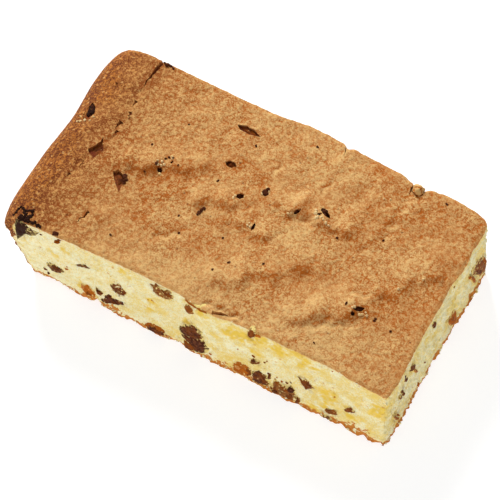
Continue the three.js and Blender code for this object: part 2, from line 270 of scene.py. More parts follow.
# Pale crumb torn up beside the holes and slits in mm: place and size
PALE_BITS = (
    (-46.6, 1.9, 1.5), (-45.5, 2.6, 1.2), (-42.8, 7.9, 1.2), (-44.2, -1, 1.3), (-8.8, 3.4, 1.7),
    (-8.6, 5, 1.3), (3.4, -5.4, 1.6), (3.6, -4, 1.2), (4.7, -5.6, 1.3), (16.4, 8.5, 1.4), (17.4, 9.2, 1.2),
    (27.3, 14.3, 1.4), (28.8, 13, 1.7), (30.2, 13.6, 1.3), (31.6, 12.9, 1.2), (68.5, -20, 1.5),
    (63.6, -20, 1.2), (69.6, -18.6, 1.1), (76.6, -1.4, 1.5), (40, -44, 1.1), (62, 22, 1), (84, 8, 1.4),
    (50, 36, 1.1), (52.5, 37.5, 0.9), (-90.6, 7, 1.8), (-88.6, 7.8, 1.7), (-86.4, 8.4, 1.5),
    (-91.8, 9.5, 1.5), (-92, 6.6, 1.3), (-85.8, 11, 1.2), (-46, 4.5, 1.6), (-44.5, 3.6, 1.5),
    (-43.4, 9, 1.3), (-47.8, 3.6, 1.4), (26.8, 14.6, 2), (28.4, 12.4, 2), (33.4, 12, 1.8), (26.4, 16, 1.5),
    (35, 11.6, 1.3), (1, 12.2, 1.4), (3.4, 14.6, 1.3), (1.4, 15.8, 1.2), (64.4, -19.2, 1.6),
    (67.6, -20.8, 1.8), (70.6, -19.6, 1.4),
)

# Bare specks of fruit on the crust in mm: place and size
CRUST_SPECKS = (
    (-54.6, 10.3, 1.3), (-50.5, -3.5, 1.4), (-19.4, 8.4, 1.5), (-13.5, 33, 1.5), (-3.3, -15.8, 1.5),
    (-21.5, -23, 1.3), (1, -32.6, 1.4), (11, 45.8, 1.2), (75.6, 47.6, 1.4), (59.4, 17.6, 1.2),
    (41, 8.6, 1.5), (19, -19, 1.3), (-47.5, -38.6, 1.2), (56.6, -41.8, 1.1), (83, -21, 1.1),
    (5.4, -25.5, 1.4), (-25.9, -15.5, 1.3), (-45.6, 28, 1.1), (2.3, 13.3, 3), (2.4, 15.2, 2.2),
    (-18.9, -11, 1.5), (-18.8, -9.8, 2), (-18.4, -8.4, 2.2), (-17.8, -7, 1.8), (60.5, -19.3, 1.8),
    (74.5, -18.9, 1.4), (74.6, -20, 1.2), (-70.3, 51, 2.4), (-69.2, -50, 2.8), (-68.6, 51.4, 1.7),
    (-67, 51, 1.5), (-72, 51.6, 1.3), (-56.9, -9.6, 2.2), (-55.9, -11.4, 2.4), (-55.6, -13, 1.6),
    (-44.4, 8, 1.8), (-42.4, 8.4, 1.6), (-47.4, 2, 1.8), (-38.5, 6, 1.2), (30.6, 17.8, 1.6),
)

# Burnt fruit skin over the tin corner in mm: the lines it runs along on the crust, and its thickness
BURNT_SKIN = (
    (((-91.3, -48.6), (-91.3, -45.6), (-90, -44.4), (-87.6, -45.6), (-85.6, -48), (-87.4, -50)), 0.8),
    (((-87.5, -45.8), (-85, -44.6), (-84, -43.8)), 0.9),
    (((-84.4, -44.4), (-83, -47.4), (-85.8, -49.2)), 0.9),
    (((-88.4, -50), (-85.5, -49.6), (-83, -50.2)), 1.3),
    (((-87, -50.4), (-83, -50.4), (-79, -49.8), (-76.8, -50)), 0.9),
)

# Slices of fruit in the cut sides: how light each is, how much crumb covers it, and then its outline in mm,
# along and up in turn. Light goes from 0 for black-brown to 1 for amber and 2 for crust.
FRUIT = {
    "raisin_front_01": (
        (-0.25, 0.1, -89.6, 24.3, -88, 27.5, -86, 31, -84.5, 33, -83.5, 37, -83, 40.5, -86, 41.5, -89, 41,
         -90, 36, -90, 30),
        (-0.15, 0.7, -84.5, 33, -81, 33.5, -79, 36.5, -77.3, 40.3, -80.5, 40.8, -84.5, 40),
    ),
    "raisin_front_02": (
        (0.05, 0.25, -74.7, 14, -73, 16.3, -70, 17, -67, 16.8, -65.6, 15, -67.5, 12.5, -70, 11,
         -72.3, 10.8),
    ),
    "raisin_front_03": (
        (0.1, 0.4, -59.3, 26, -58, 28.5, -55.5, 29.5, -53.5, 31, -51, 29.2, -54.5, 28, -57.5, 26.7),
    ),
    "raisin_front_04": (
        (0.85, 0.35, -57, 10, -55, 13.6, -52, 12, -50, 9, -48.3, 6, -51, 4.6, -54, 3.6, -56, 6),
        (1.3, 0.5, -57.5, 8, -56.5, 12.5, -54.5, 13.2, -54.8, 10, -55.8, 7.4),
        (0.35, 0.1, -54.5, 6, -53.8, 8.4, -52, 8, -51, 5.8, -52.6, 4.8),
    ),
    "raisin_front_05": (
        (0, 0, -44, 13, -42, 14, -40, 13.2, -38.5, 14, -36, 13, -32.3, 15, -34, 11.5, -37, 9.5, -41, 7.5,
         -44.5, 4.5, -46.5, 6, -44.5, 9),
        (0.15, 0.2, -49.3, 16.3, -48.3, 13, -46.3, 13.8, -45.4, 12.3, -46.8, 9.5, -48.6, 9.6),
    ),
    "raisin_front_06": (
        (0.1, 0.4, -37.8, 28.5, -35.8, 27.2, -33, 25, -32.5, 22, -34.3, 19, -36.6, 15.6, -38.8, 16.8,
         -41, 20.5, -42, 23.5, -40, 25.6),
    ),
    "raisin_front_07": (
        (0.6, 0.3, -25.4, 3, -22, 7.4, -17, 8, -12.8, 7, -11.4, 3.4, -14, 0.8, -19, 0.5, -23, 0.8),
        (0.12, 0, -24, 3, -21.5, 6, -17, 6.4, -13.6, 5.6, -12.6, 3, -14.6, 0.9, -19, 0.6, -22.6, 0.9),
    ),
    "raisin_front_08": (
        (0.3, 0.6, -21.5, 39.5, -20.3, 40.5, -19, 40.5, -17.5, 42.8, -16, 41, -14, 38.6, -12, 39.3,
         -10.6, 43.3, -9.8, 42, -9.2, 38, -10.5, 35.3, -13, 33.7, -16.5, 33.3, -19.5, 35, -21, 37.5),
    ),
    "raisin_front_09": (
        (0.35, 0.25, -3.3, 36, -2.5, 38.5, -0.5, 40.6, 0.3, 38, 1.8, 35.3, 0.5, 33.5, -1.5, 32.3,
         -2.8, 33.5),
        (0.7, 0.25, -3.3, 41.3, -2.6, 43.2, 1, 43.4, 5, 43.4, 9, 43.4, 10, 42.6, 6, 41.6, 2.5, 42.2,
         0, 41.6),
    ),
    "raisin_front_10": (
        (0.02, 0.15, 0.5, 25.6, 2.5, 24.3, 5, 21.8, 6, 18.5, 5.5, 15.5, 3, 12, -2, 11, -4.5, 12, -6, 15,
         -4.5, 18, -2, 21, 0, 22),
        (-0.02, 0.1, 5.5, 15.5, 8, 13.5, 9, 10, 8, 6.5, 6, 3.2, 3, 2.2, 1, 5, -2, 8, -4, 9.5, -4.3, 12,
         0, 14),
        (0.3, 0, -3, 7.5, 0, 8.5, 2.3, 6, 2.2, 2.6, 0.5, 1.2, -1.6, 1.2, -3, 3),
    ),
    "raisin_front_11": (
        (0.25, 0.1, 28.3, 37.4, 29.4, 36.6, 31.8, 39.4, 32, 42, 30.8, 44.6, 29, 44.4, 28.8, 42, 28.2, 39.6),
        (1, 0.2, 31.4, 40.6, 33, 40.8, 35, 41.4, 35, 43, 32.6, 43.6),
    ),
    "raisin_front_12": (
        (0.8, 0.35, 22, 8.3, 24, 11.3, 26, 12, 28.5, 12.5, 31, 10, 31.5, 6, 29.5, 3, 26, 1.2, 22.4, 2),
        (0.35, 0.1, 28, 9.4, 29.6, 11, 31, 9.6, 31.4, 6, 29.6, 3.4, 28.4, 6),
        (1.3, 0.5, 23, 7.6, 25, 9.6, 26.4, 8, 25.4, 5.4, 23.6, 5),
    ),
    "raisin_front_13": (
        (0.12, 0.4, 30.3, 17, 31.5, 20.5, 34.5, 20.7, 35, 18.5, 32.5, 16.3, 31, 15.4),
    ),
    "raisin_front_14": (
        (0.12, 0.2, 31.4, 3, 31.8, 8, 33.2, 11, 35, 15, 36.4, 12, 38, 11.5, 39.8, 9, 40, 5, 38, 2, 34, 1.2),
        (-0.05, 0.1, 35.6, 9.5, 37.6, 11, 39.6, 8.6, 39.6, 4, 37.5, 2.3, 35.4, 4),
        (0.05, 0.1, 39.4, 10, 39.8, 14.6, 41, 15.4, 41, 11.5, 40.4, 9.4),
    ),
    "raisin_front_15": (
        (0.3, 0.4, 41, 1, 42, 6, 43.4, 12, 45.4, 10.6, 47.5, 9.8, 50, 9.6, 52.8, 9, 54.4, 5, 53, 1,
         47, 0.6),
        (0.15, 0.4, 45, 6.6, 46.8, 9.2, 49.4, 8.8, 48.8, 5.2, 46.6, 4.2),
        (0.12, 0.15, 49.2, 4.4, 51, 8.2, 52.8, 6.6, 52, 2, 49.8, 0.9),
        (0.08, 0.2, 41.6, 1, 42.8, 4.2, 45.4, 3.8, 45.8, 1.2, 43.6, 0.7),
        (-0.1, 0, 49.4, 9.2, 51, 13.2, 53.2, 11.6, 52.8, 8.8, 51, 7.8),
        (0.3, 0.2, 54, 2, 54.6, 7, 56, 6.4, 56.4, 3.6, 55.2, 1.2),
    ),
    "raisin_front_16": (
        (0.2, 0.1, 54, 24, 56, 22.5, 57.5, 25.5, 59.5, 24.5, 61, 21.5, 62, 20.3, 60, 18.5, 58.3, 16,
         57.3, 18.5, 55.5, 20, 54.8, 22),
    ),
    "raisin_front_17": (
        (0.35, 0.25, 67.8, 6, 69, 9, 71.5, 10.2, 74, 11, 74.6, 8.4, 72, 6.4, 70, 5.2),
        (0.2, 0.55, 67.4, 1, 68.4, 3, 71, 3.2, 72.8, 1.8, 70.5, 0.7),
    ),
    "raisin_front_18": (
        (0.2, 0.1, 77.6, 15.6, 78.8, 18.6, 80.4, 21.4, 82, 20, 83, 18, 82.2, 16.8, 80.6, 16.4, 79, 15),
    ),
    "raisin_end_01": (
        (0.5, 0.3, -44, 15.5, -43.2, 17, -42, 13, -40.4, 9, -38.4, 5.5, -36.8, 2.4, -38.6, 3.6, -40.6, 6.6,
         -42.6, 11),
        (0.6, 0.3, -42, 14.5, -41, 13.6, -39.4, 10.4, -37.6, 6.8, -38.8, 7.4, -40.8, 11.4),
    ),
    "raisin_end_02": (
        (0.05, 0.15, -38.3, 30.6, -36.6, 29.6, -35.4, 26.6, -36.2, 25.6, -37.8, 27.6),
        (0.2, 0.15, -39.6, 26, -38, 25.6, -36.4, 23.4, -37.6, 22.4, -39, 24),
        (0.1, 0.2, -36.4, 25.4, -35, 24.6, -33.4, 20.6, -35.2, 21.4, -36.4, 23.4),
    ),
    "raisin_end_03": (
        (0, 0.15, -36.8, 40.4, -34.8, 40, -32.8, 36.8, -34, 35.6, -35.4, 36.4),
        (0.1, 0.15, -35.2, 35.6, -33.8, 35.4, -31, 31, -32.6, 31.6, -34.6, 33.4),
    ),
    "raisin_end_04": (
        (0.12, 0.2, -29.8, 35, -27, 36.4, -25.2, 33.4, -23.2, 30.2, -25, 28.8, -27, 30.4),
        (0.7, 0.6, -26, 30, -24.6, 29, -22.4, 24, -20.4, 19.4, -22, 20, -24.2, 24.4),
    ),
    "raisin_end_05": (
        (0.05, 0.1, -7.2, 38.4, -5.8, 40.4, -4.4, 39, -3.2, 36.4, -2.8, 33.4, -4.4, 32.6, -6.2, 35.4),
    ),
    "raisin_end_06": (
        (0.75, 0.1, 8.6, 16.4, 11, 15, 13, 16, 15.6, 16, 17.4, 12, 18.6, 7, 18, 1.6, 16, 2, 13.4, 6,
         11, 11),
        (0.25, 0.1, 11.8, 15, 14, 15, 15.4, 11, 15.6, 7.6, 14, 9, 12.4, 12),
    ),
    "raisin_end_07": (
        (0.35, 0.35, 33.6, 22.6, 36, 25, 39.4, 25.2, 42, 23.6, 44.6, 19.4, 47, 13, 48.4, 7, 47, 1.6,
         44, 3.6, 41, 8.4, 38, 14, 35, 19),
        (0.02, 0.1, 34.6, 20.6, 37, 20, 40.4, 15, 43.4, 11, 44.6, 7, 42.6, 7.6, 39.4, 12.4, 36.2, 17),
        (0.65, 0.2, 30, 24.4, 31.6, 24, 34.4, 18, 37, 11, 37.4, 8, 35.4, 10.4, 32.6, 17),
        (0.6, 0.3, 42.4, 23, 44.8, 20, 47, 14, 48.2, 9, 46.8, 9.4, 44.6, 15.6, 42.4, 20.4),
    ),
}

# How light the raisins of the crust are, in order; below 0 they are burnt
TOP_TONES = (-0.3, 0.22, 0.15, -0.2, 0.3, 0.2, -0.1, -0.2, -0.2, -0.2, -0.2, 2.1)

# Small bits of fruit in the cut sides in mm: place along and up, size, and how light each is
FACE_SPECKS = {
    "front": (
        (-67.7, 39.9, 2.8, 0.5), (-67, 41.6, 2, 0.5), (-76.4, 39, 1.6, 0.1), (-64, 19, 2.2, 1.1),
        (-63.8, 21, 1.3, 1.1), (-76, 9, 2.5, 0.2), (-74.3, 7, 2, 0), (-53.8, 32, 1, 1),
        (-41, 31, 1.2, 1.2), (-31, 30, 1.2, 1.2), (-20, 27, 1.3, 1.1), (-22, 26, 1.1, 1.1),
        (31.7, 22.5, 1.4, 0.4), (37.3, 22.3, 1.3, 0.4), (38.5, 24, 1, 0.4), (40, 14.5, 1.9, 0.2),
        (49, 14, 1.6, 0.3), (50.8, 16.2, 1.7, 0.3), (53.6, 5, 1.7, 0.5), (55, 3.5, 1.3, 0.9),
        (69.5, 41.5, 1, 0.8), (72.3, 21.6, 1, 1.1), (62, 27.5, 1, 1.2), (23.8, 22.2, 1.3, 1),
        (10.5, 6.5, 1.3, 1), (46.5, 13, 1.2, 0.9), (44, 14.5, 1.1, 0.9),
    ),
    "end": (
        (-33, 32.5, 1.8, 0.1), (14.5, 39, 1.6, 0.4), (-33, 4.5, 2.4, 1), (-20, 5.5, 2.4, 1),
        (25, 35, 1, 1), (-13.5, 15.5, 1.2, 0.5), (30, 24, 2, 1),
    ),
}
FACE_SPECKS["back"] = FACE_SPECKS["front"]

# Directions of each cut side that raisins lie in: along it, up it and out of it
FACES = {
    "front": np.array(((1, 0, 0), (0, 0, 1), (0, -1, 0)), float),
    "end": np.array(((0, 1, 0), (0, 0, 1), (1, 0, 0)), float),
    "back": np.array(((-1, 0, 0), (0, 0, 1), (0, 1, 0)), float),
}

# Sides in the order that their raisins are made
SIDES = ("front", "end", "top", "back")

# Materials of the slab's faces, in the order of their numbers: cut sides, then crust
SLAB_MATERIALS = ("cake_sponge", "cake_crust")


# Settings

def length_property(name, description, size):
    """A length in metres that the sidebar shows in the scene's units, from its default in mm."""
    return FloatProperty(name=name, description=description, default=size * MM, unit="LENGTH", precision=4)


def angle_property(name, description, degrees):
    """An angle, from its default in degrees."""
    return FloatProperty(name=name, description=description, default=math.radians(degrees), subtype="ANGLE")


def colour_property(name, description, *screen):
    """A linear colour with full alpha, from the 8-bit screen colour of its default."""
    shares = np.array(screen) / 255
    linear = np.where(shares <= 0.04045, shares / 12.92, ((shares + 0.055) / 1.055) ** 2.4)
    colour = (*linear.tolist(), 1.0)
    return FloatVectorProperty(name=name, description=description, default=colour, subtype="COLOR", size=4)


class SlabSizes(PropertyGroup):
    """Sizes of the slab, in metres."""

    length: length_property("Length", "Tin end to cut end", 197)
    width: length_property("Width", "Front cut side to back cut side", 105)
    height: length_property("Height", "Base to crust along the cut edges", 44)
    crown: length_property("Crown", "How much higher the crust is along the middle", 0.6)
    front_lean: length_property("Front lean", "How far the front's top edge stands back", 2.2)
    back_lean: length_property("Back lean", "How far the back's top edge stands back", 0.3)
    end_lean: length_property("End lean", "How far the cut end's top edge stands back", 1.8)
    back_bulge: length_property("Back bulge", "How far the back swells out at the crust", 2.2)
    back_bulge_x: length_property("Back bulge place", "Where along the slab the back swells", 4)
    back_bulge_rise: length_property("Back bulge rise", "Its half width towards the tin end", 10.5)
    back_bulge_run: length_property("Back bulge run", "Its half width towards the cut end", 25)
    back_corner: length_property("Back corner", "How far the back stands in by the cut end", 3)
    back_corner_run: length_property("Back corner run", "Length over which it does", 14)
    corner_tip: length_property("Corner tip", "How much further the crust is worn in there", 3.2)
    corner_tip_run: length_property("Corner tip run", "Length over which it is", 1.6)
    cut_corner: length_property("Cut corner", "Length over which the upright cut corners round", 3.2)
    tin_round: length_property("Tin round", "Length over which the crust rounds down", 21)
    tin_drop: length_property("Tin drop", "How far the crust comes down at the tin end", 12)
    tin_taper: length_property("Tin taper", "How far the base stands in at the tin end", 13.9)
    tin_bow: length_property("Tin bow", "How far the tin end's corners stand back", 3)
    tin_swell: length_property("Tin swell", "How far the tin end swells out between them", 0.7)
    tin_dent: length_property("Tin dent", "Depth of the dent in the tin end", 1.4)
    cell: length_property("Cell", "Size of the mesh's cells on the crust", 0.53)
    row: length_property("Row", "Height of the mesh's rows on the sides", 0.62)
    ragged: length_property("Raggedness", "Depth of the torn crumb on the cut sides", 0.9)


class CakeColours(PropertyGroup):
    """Colours of the baked crust, the crumb and the fruit."""

    crust_light: colour_property("Crust blisters", "Pale blisters of the crust", 221, 178, 114)
    crust_dark: colour_property("Crust network", "Brown skin between the blisters", 175, 91, 11)
    tin_light: colour_property("Tin blisters", "Blisters of the browner tin end", 183, 112, 39)
    tin_dark: colour_property("Tin network", "Skin of the browner tin end", 103, 45, 7)
    toasted: colour_property("Toasted", "Red-brown inside of holes in the crust", 116, 47, 12)
    crumb: colour_property("Crumb", "Cream crumb of the cut sides", 245, 239, 199)
    crumb_deep: colour_property("Deep crumb", "Deeper cream in the hollows", 238, 213, 133)
    yolk: colour_property("Yolk", "Patches of egg-yellow crumb", 236, 196, 62)
    base_crust: colour_property("Base crust", "Browned base", 202, 126, 44)
    raisin: colour_property("Raisin", "Dark dried fruit", 70, 31, 13)
    amber: colour_property("Amber fruit", "Lighter dried fruit", 188, 98, 14)
    burnt: colour_property("Burnt", "Fruit burnt on the crust", 36, 19, 13)
    # Colour of the fruit's dusty bloom, which also paints a sheen: its flecks lighten the dark fruit as a
    # painted highlight.
    bloom_and_sheen: colour_property("Bloom and sheen", "Dusty bloom on the fruit's folds", 158, 92, 60)


class CrumbSettings(PropertyGroup):
    """Loose crumbs."""

    count: IntProperty(name="Count", description="Crumbs along the edges and the base", default=240)
    size: length_property("Size", "Radius of an ordinary crumb", 0.42)
    seed: IntProperty(name="Seed", description="Chooses where the crumbs lie", default=11)


class StageSettings(PropertyGroup):
    """Camera and light of the stage."""

    azimuth: angle_property("Azimuth", "Camera's turn from the front", 29.1)
    elevation: angle_property("Elevation", "Camera's height angle", 61.1)
    distance: length_property("Distance", "Camera to the slab's middle", 1132.4)
    lens: FloatProperty(name="Lens", description="Focal length in mm", default=180.0)
    sky: FloatProperty(name="Sky", description="Strength of the light from all round", default=0.36)
    key: FloatProperty(name="Key", description="Main light in watts", default=58.5, unit="POWER")
    fill: FloatProperty(name="Fill", description="Front light in watts", default=4.8, unit="POWER")


def sizes_in_mm(scene):
    """The slab's sizes in mm."""
    sizes = scene.cake_slab
    return SimpleNamespace(**{name: getattr(sizes, name) / MM for name in SlabSizes.__annotations__})


# Mesh helpers

def select_only(*pieces):
    """Select these objects alone, in object mode, the first one active."""
    if bpy.context.mode != "OBJECT":
        bpy.ops.object.mode_set(mode="OBJECT")
    bpy.ops.object.select_all(action="DESELECT")
    for piece in pieces:
        piece.select_set(True)
    if pieces:
        bpy.context.view_layer.objects.active = pieces[0]


def edit_all(operator, **settings):
    """Run an edit-mode operator on the whole of the active mesh."""
    bpy.ops.object.mode_set(mode="EDIT")
    bpy.ops.mesh.select_all(action="SELECT")
    operator(**settings)
    bpy.ops.object.mode_set(mode="OBJECT")


def points_of(piece, field="co"):
    """Places of a mesh object's vertices as it stores them, or their normals, in rows."""
    values = np.empty(len(piece.data.vertices) * 3)
    piece.data.vertices.foreach_get(field, values)
    return values.reshape(-1, 3)


def set_points(piece, points):
    """Move the vertices of a mesh object to places in mm."""
    piece.data.vertices.foreach_set("co", np.ascontiguousarray(points * MM, dtype=np.float32).ravel())
    piece.data.update()


def store(piece, name, values):
    """Keep a number for each vertex, for the materials to read."""
    layer = piece.data.attributes.new(name, "FLOAT", "POINT")
    each = np.broadcast_to(values, len(piece.data.vertices))
    layer.data.foreach_set("value", np.ascontiguousarray(each, dtype=np.float32))


def named(piece, name):
    """An object with its mesh named after it."""
    piece.name = name
    piece.data.name = name
    return piece


def join(pieces, name):
    """Join objects into the first one and name it."""
    select_only(*pieces)
    bpy.ops.object.join()
    return named(pieces[0], name)


def material_named(name):
    """A material made by an earlier operator."""
    if name not in bpy.data.materials:
        raise RuntimeError(f"run the materials operator first: {name} is missing")
    return bpy.data.materials[name]


def finish_piece(piece, material, nodes=()):
    """Give a finished piece its material and tie it to the frame."""
    piece.data.materials.clear()
    piece.data.materials.append(material_named(material))
    select_only(piece)
    bpy.ops.object.shade_smooth_by_angle(angle=math.radians(SMOOTH_ANGLE))
    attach(piece, "root")
    if nodes:
        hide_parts(*nodes)


def noise_at(points, size, seed):
    """Smooth noise from about -1 to 1 at points of space or of a plane, with features of about this size."""
    if points.shape[1] == 2:
        points = np.column_stack([points, np.zeros(len(points))])
    shift = Vector(SEED_SHIFT) * seed
    return np.array([noise.noise(Vector(point) / size + shift) for point in points])


def noise_sum(points, waves):
    """A sum of noises, each with its height, the size of its features and its seed."""
    return sum(height * noise_at(points, size, seed) for height, size, seed in waves)


def bell(distance, half):
    """A smooth hump: 1 at no distance, fading over this half width."""
    return np.exp(-((distance / half) ** 2))


def smooth_step(values, low, high):
    """A smooth rise from 0 at the low value to 1 at the high one."""
    share = np.clip((values - low) / (high - low), 0, 1)
    return share * share * (3 - 2 * share)


def walk(corners, count, closed):
    """Evenly spaced points along a line, or round a closed outline."""
    line = np.array(corners, float)
    if closed:
        line = np.concatenate([line, line[:1]])
    steps = np.linalg.norm(np.diff(line, axis=0), axis=1)
    reached = np.concatenate([[0], np.cumsum(steps)])
    wanted = np.linspace(0, reached[-1], count, endpoint=not closed)
    return np.column_stack([np.interp(wanted, reached, line[:, axis]) for axis in (0, 1)])


# Shape of the slab, in mm

def segment_distance(x, y, start, end):
    """Distance along a line from its start, distance to its left, and distance past its ends."""
    run = np.subtract(end, start)
    length = np.hypot(*run)
    along = ((x - start[0]) * run[0] + (y - start[1]) * run[1]) / length
    beside = ((y - start[1]) * run[0] - (x - start[0]) * run[1]) / length
    past = np.maximum(np.maximum(-along, along - length), 0)
    return along, beside, past


def crust_relief(x, y):
    """Height that the folds and creases add to the crust."""
    height = np.zeros_like(x)
    for start, end, rise, gentle, steep in FOLDS:
        along, beside, past = segment_distance(x, y, start, end)
        beside = beside + 1.3 * np.sin(0.33 * along + start[0]) + 0.6 * np.sin(0.9 * along)
        swell = 0.85 + 0.25 * np.sin(0.5 * along + start[1])
        height += rise * swell * bell(beside, np.where(beside > 0, gentle, steep)) * bell(past, gentle)
    for start, end, depth, width in CREASES:
        along, beside, past = segment_distance(x, y, start, end)
        wander = 0.8 * np.sin(along * 0.9)
        height -= depth * bell(beside - wander, width) * bell(past, width)
    return height


def over_plan(x, y, waves):
    """A sum of noises over points of the plan."""
    return noise_sum(np.column_stack([x, y]), waves)


def crust_lumps(x, y):
    """Height that the uneven, blistered skin adds to the crust."""
    return over_plan(x, y, CRUST_LUMPS) + BLISTER_HEIGHT * over_plan(x, y, BLISTERS)


def crust_shade(x, y):
    """How steeply the crust falls away from the main light, from -1 to 1, which paints shade into its
    colour.
    """
    step = SHADE_STEP * math.sqrt(0.5)
    here = crust_relief(x, y) + over_plan(x, y, CRUST_LUMPS)
    beyond = crust_relief(x + step, y - step) + over_plan(x + step, y - step, CRUST_LUMPS)
    return np.clip((here - beyond) / SHADE_STEP / SHADE_SLOPE, -1, 1)


def tin_bow(slab, side):
    """How far the tin end stands in at a share of the half width."""
    place, half = TIN_DENT
    dent = slab.tin_dent * bell(side * slab.width / 2 - place, half)
    return slab.tin_bow * side**8 + dent - slab.tin_swell


def front_edge(slab, x):
    """Place of the crust's front edge."""
    return slab.front_lean - slab.width / 2 + np.interp(x, *np.transpose(FRONT_WAVES))


def end_edge(slab, y):
    """Place of the crust's edge at the cut end."""
    return slab.length / 2 - slab.end_lean - np.interp(y, *np.transpose(END_WAVES))


def back_foot(slab, x):
    """Place of the back's foot, which curves in towards the cut end."""
    short = np.clip(slab.length / 2 - x, 0, None) / slab.back_corner_run
    return slab.width / 2 - slab.back_corner * np.exp(-(short**1.5))


def back_edge(slab, x):
    """Place of the crust's back edge."""
    from_bulge = x - slab.back_bulge_x
    reach = np.where(from_bulge < 0, slab.back_bulge_rise, slab.back_bulge_run)
    swell = slab.back_bulge * bell(from_bulge, reach)
    short = np.clip(slab.length / 2 - slab.end_lean - x, 0, None)
    tip = slab.corner_tip * np.exp(-short / slab.corner_tip_run)
    dents = sum(depth * bell(x - place, half) for place, depth, half in BACK_DENTS)
    return back_foot(slab, x) + swell - slab.back_lean - tip - dents


def crust_level(slab, side, turn, x, y):
    """Height of the crust where it has turned down this far towards the tin end."""
    crown = slab.crown * (1 - side**2) * np.cos(turn)
    return slab.height - slab.tin_drop * (1 - np.cos(turn)) + crown + crust_relief(x, y)


def crust_points(slab, along, across):
    """Points of the crust from shares of the slab's length and width."""
    side = 2 * across - 1
    turn = np.pi / 2 * np.clip(1 - along / ROUND_SHARE, 0, 1)
    flat = np.clip((along - ROUND_SHARE) / (1 - ROUND_SHARE), 0, 1)
    start = slab.tin_round - slab.length / 2
    end = end_edge(slab, side * slab.width / 2)
    x = start + (end - start) * flat - (slab.tin_round - tin_bow(slab, side)) * np.sin(turn)
    front = front_edge(slab, x)
    y = front + (back_edge(slab, x) - front) * across
    return np.stack([x, y, crust_level(slab, side, turn, x, y)], axis=1)


def crust_height(slab, x, y):
    """Height of the crust over points of the plan."""
    front = front_edge(slab, x)
    side = np.clip(2 * (y - front) / (back_edge(slab, x) - front) - 1, -1, 1)
    start = slab.tin_round - slab.length / 2
    turn = np.arcsin(np.clip((start - x) / (slab.tin_round - tin_bow(slab, side)), 0, 1))
    return crust_level(slab, side, turn, x, y)


def on_crust(slab, x, y):
    """Places on the crust's uneven skin over points of the plan."""
    return np.column_stack([x, y, crust_height(slab, x, y) + crust_lumps(x, y)])


def base_points(slab, along, across):
    """Points of the base from shares of the slab's length and width."""
    start = slab.tin_taper - slab.length / 2 + tin_bow(slab, 2 * across - 1)
    x = start + (slab.length / 2 - start) * along
    front = -slab.width / 2
    y = front + (back_foot(slab, x) - front) * across
    return np.stack([x, y, np.zeros_like(x)], axis=1)


def slab_points(slab, share):
    """Points of the slab's skin from shares of its length, width and height."""
    along, across, up = share.T
    crust = crust_points(slab, along, across)
    base = base_points(slab, along, across)
    lean = 1 - (1 - up) ** TIN_CURVE
    points = base + (crust - base) * up[:, None]
    points[:, 0] = base[:, 0] + (crust[:, 0] - base[:, 0]) * lean
    return points


def side_gaps(slab, points):
    """Distance of points inside each cut side."""
    x, y, z = points.T
    up = z / slab.height
    front = -slab.width / 2
    back = back_foot(slab, x)
    end = slab.length / 2
    return {
        "front": y - front - (front_edge(slab, x) - front) * up,
        "back": back + (back_edge(slab, x) - back) * up - y,
        "end": end + (end_edge(slab, y) - end) * up - x,
    }


def side_gap(slab, points):
    """Distance of points inside the nearest cut side."""
    return np.minimum.reduce(list(side_gaps(slab, points).values()))


def tin_depth(slab, points):
    """Distance of points behind the tin end's skin."""
    x, y, z = points.T
    bow = tin_bow(slab, np.clip(2 * y / slab.width, -1, 1))
    shoulder = slab.height - slab.tin_drop
    lean = 1 - (1 - np.clip(z / shoulder, 0, 1)) ** TIN_CURVE
    below = slab.tin_taper * (1 - lean) - slab.length / 2 + bow
    cosine = np.clip((z - shoulder) / slab.tin_drop, 0, 1)
    above = slab.tin_round - slab.length / 2 - (slab.tin_round - bow) * np.sqrt(1 - cosine**2)
    return x - np.where(z < shoulder, below, above)


# Sponge and crust

def paint(piece, marks):
    """Give a mesh the slab's materials and mark which one each face has."""
    for name in SLAB_MATERIALS:
        piece.data.materials.append(material_named(name))
    piece.data.polygons.foreach_set("material_index", marks)


def blank_slab(slab):
    """A grid for the crust, its rim extruded down to a base, with the sides divided into rows."""
    columns = round(slab.length / slab.cell)
    rows = round(slab.width / slab.cell)
    levels = round(slab.height / slab.row)
    select_only()
    place = (0.5, 0.5, 1)
    bpy.ops.mesh.primitive_grid_add(x_subdivisions=columns, y_subdivisions=rows, size=1, location=place)
    sponge = bpy.context.object
    bpy.ops.object.transform_apply(location=True, rotation=True, scale=True)
    bpy.ops.object.mode_set(mode="EDIT")
    bpy.ops.mesh.select_mode(type="EDGE")
    bpy.ops.mesh.select_all(action="DESELECT")
    bpy.ops.mesh.select_non_manifold()
    bpy.ops.mesh.extrude_edges_move(TRANSFORM_OT_translate={"value": (0, 0, -1)})
    bpy.ops.mesh.edge_face_add()
    bpy.ops.mesh.select_all(action="DESELECT")
    bpy.ops.object.mode_set(mode="OBJECT")
    heights = points_of(sponge)[:, 2]
    ends = np.empty(len(sponge.data.edges) * 2, dtype=np.int32)
    sponge.data.edges.foreach_get("vertices", ends)
    upright = np.abs(heights[ends[::2]] - heights[ends[1::2]]) > 0.5
    sponge.data.edges.foreach_set("select", upright)
    bpy.ops.object.mode_set(mode="EDIT")
    bpy.ops.mesh.subdivide(number_cuts=levels - 1)
    bpy.ops.object.mode_set(mode="OBJECT")
    edit_all(bpy.ops.mesh.normals_make_consistent, inside=False)
    share = points_of(sponge)
    crust = (share[:, 2] > 1 - EDGE) | (share[:, 0] < EDGE)
    paint(sponge, [int(crust[list(face.vertices)].all()) for face in sponge.data.polygons])
    return sponge


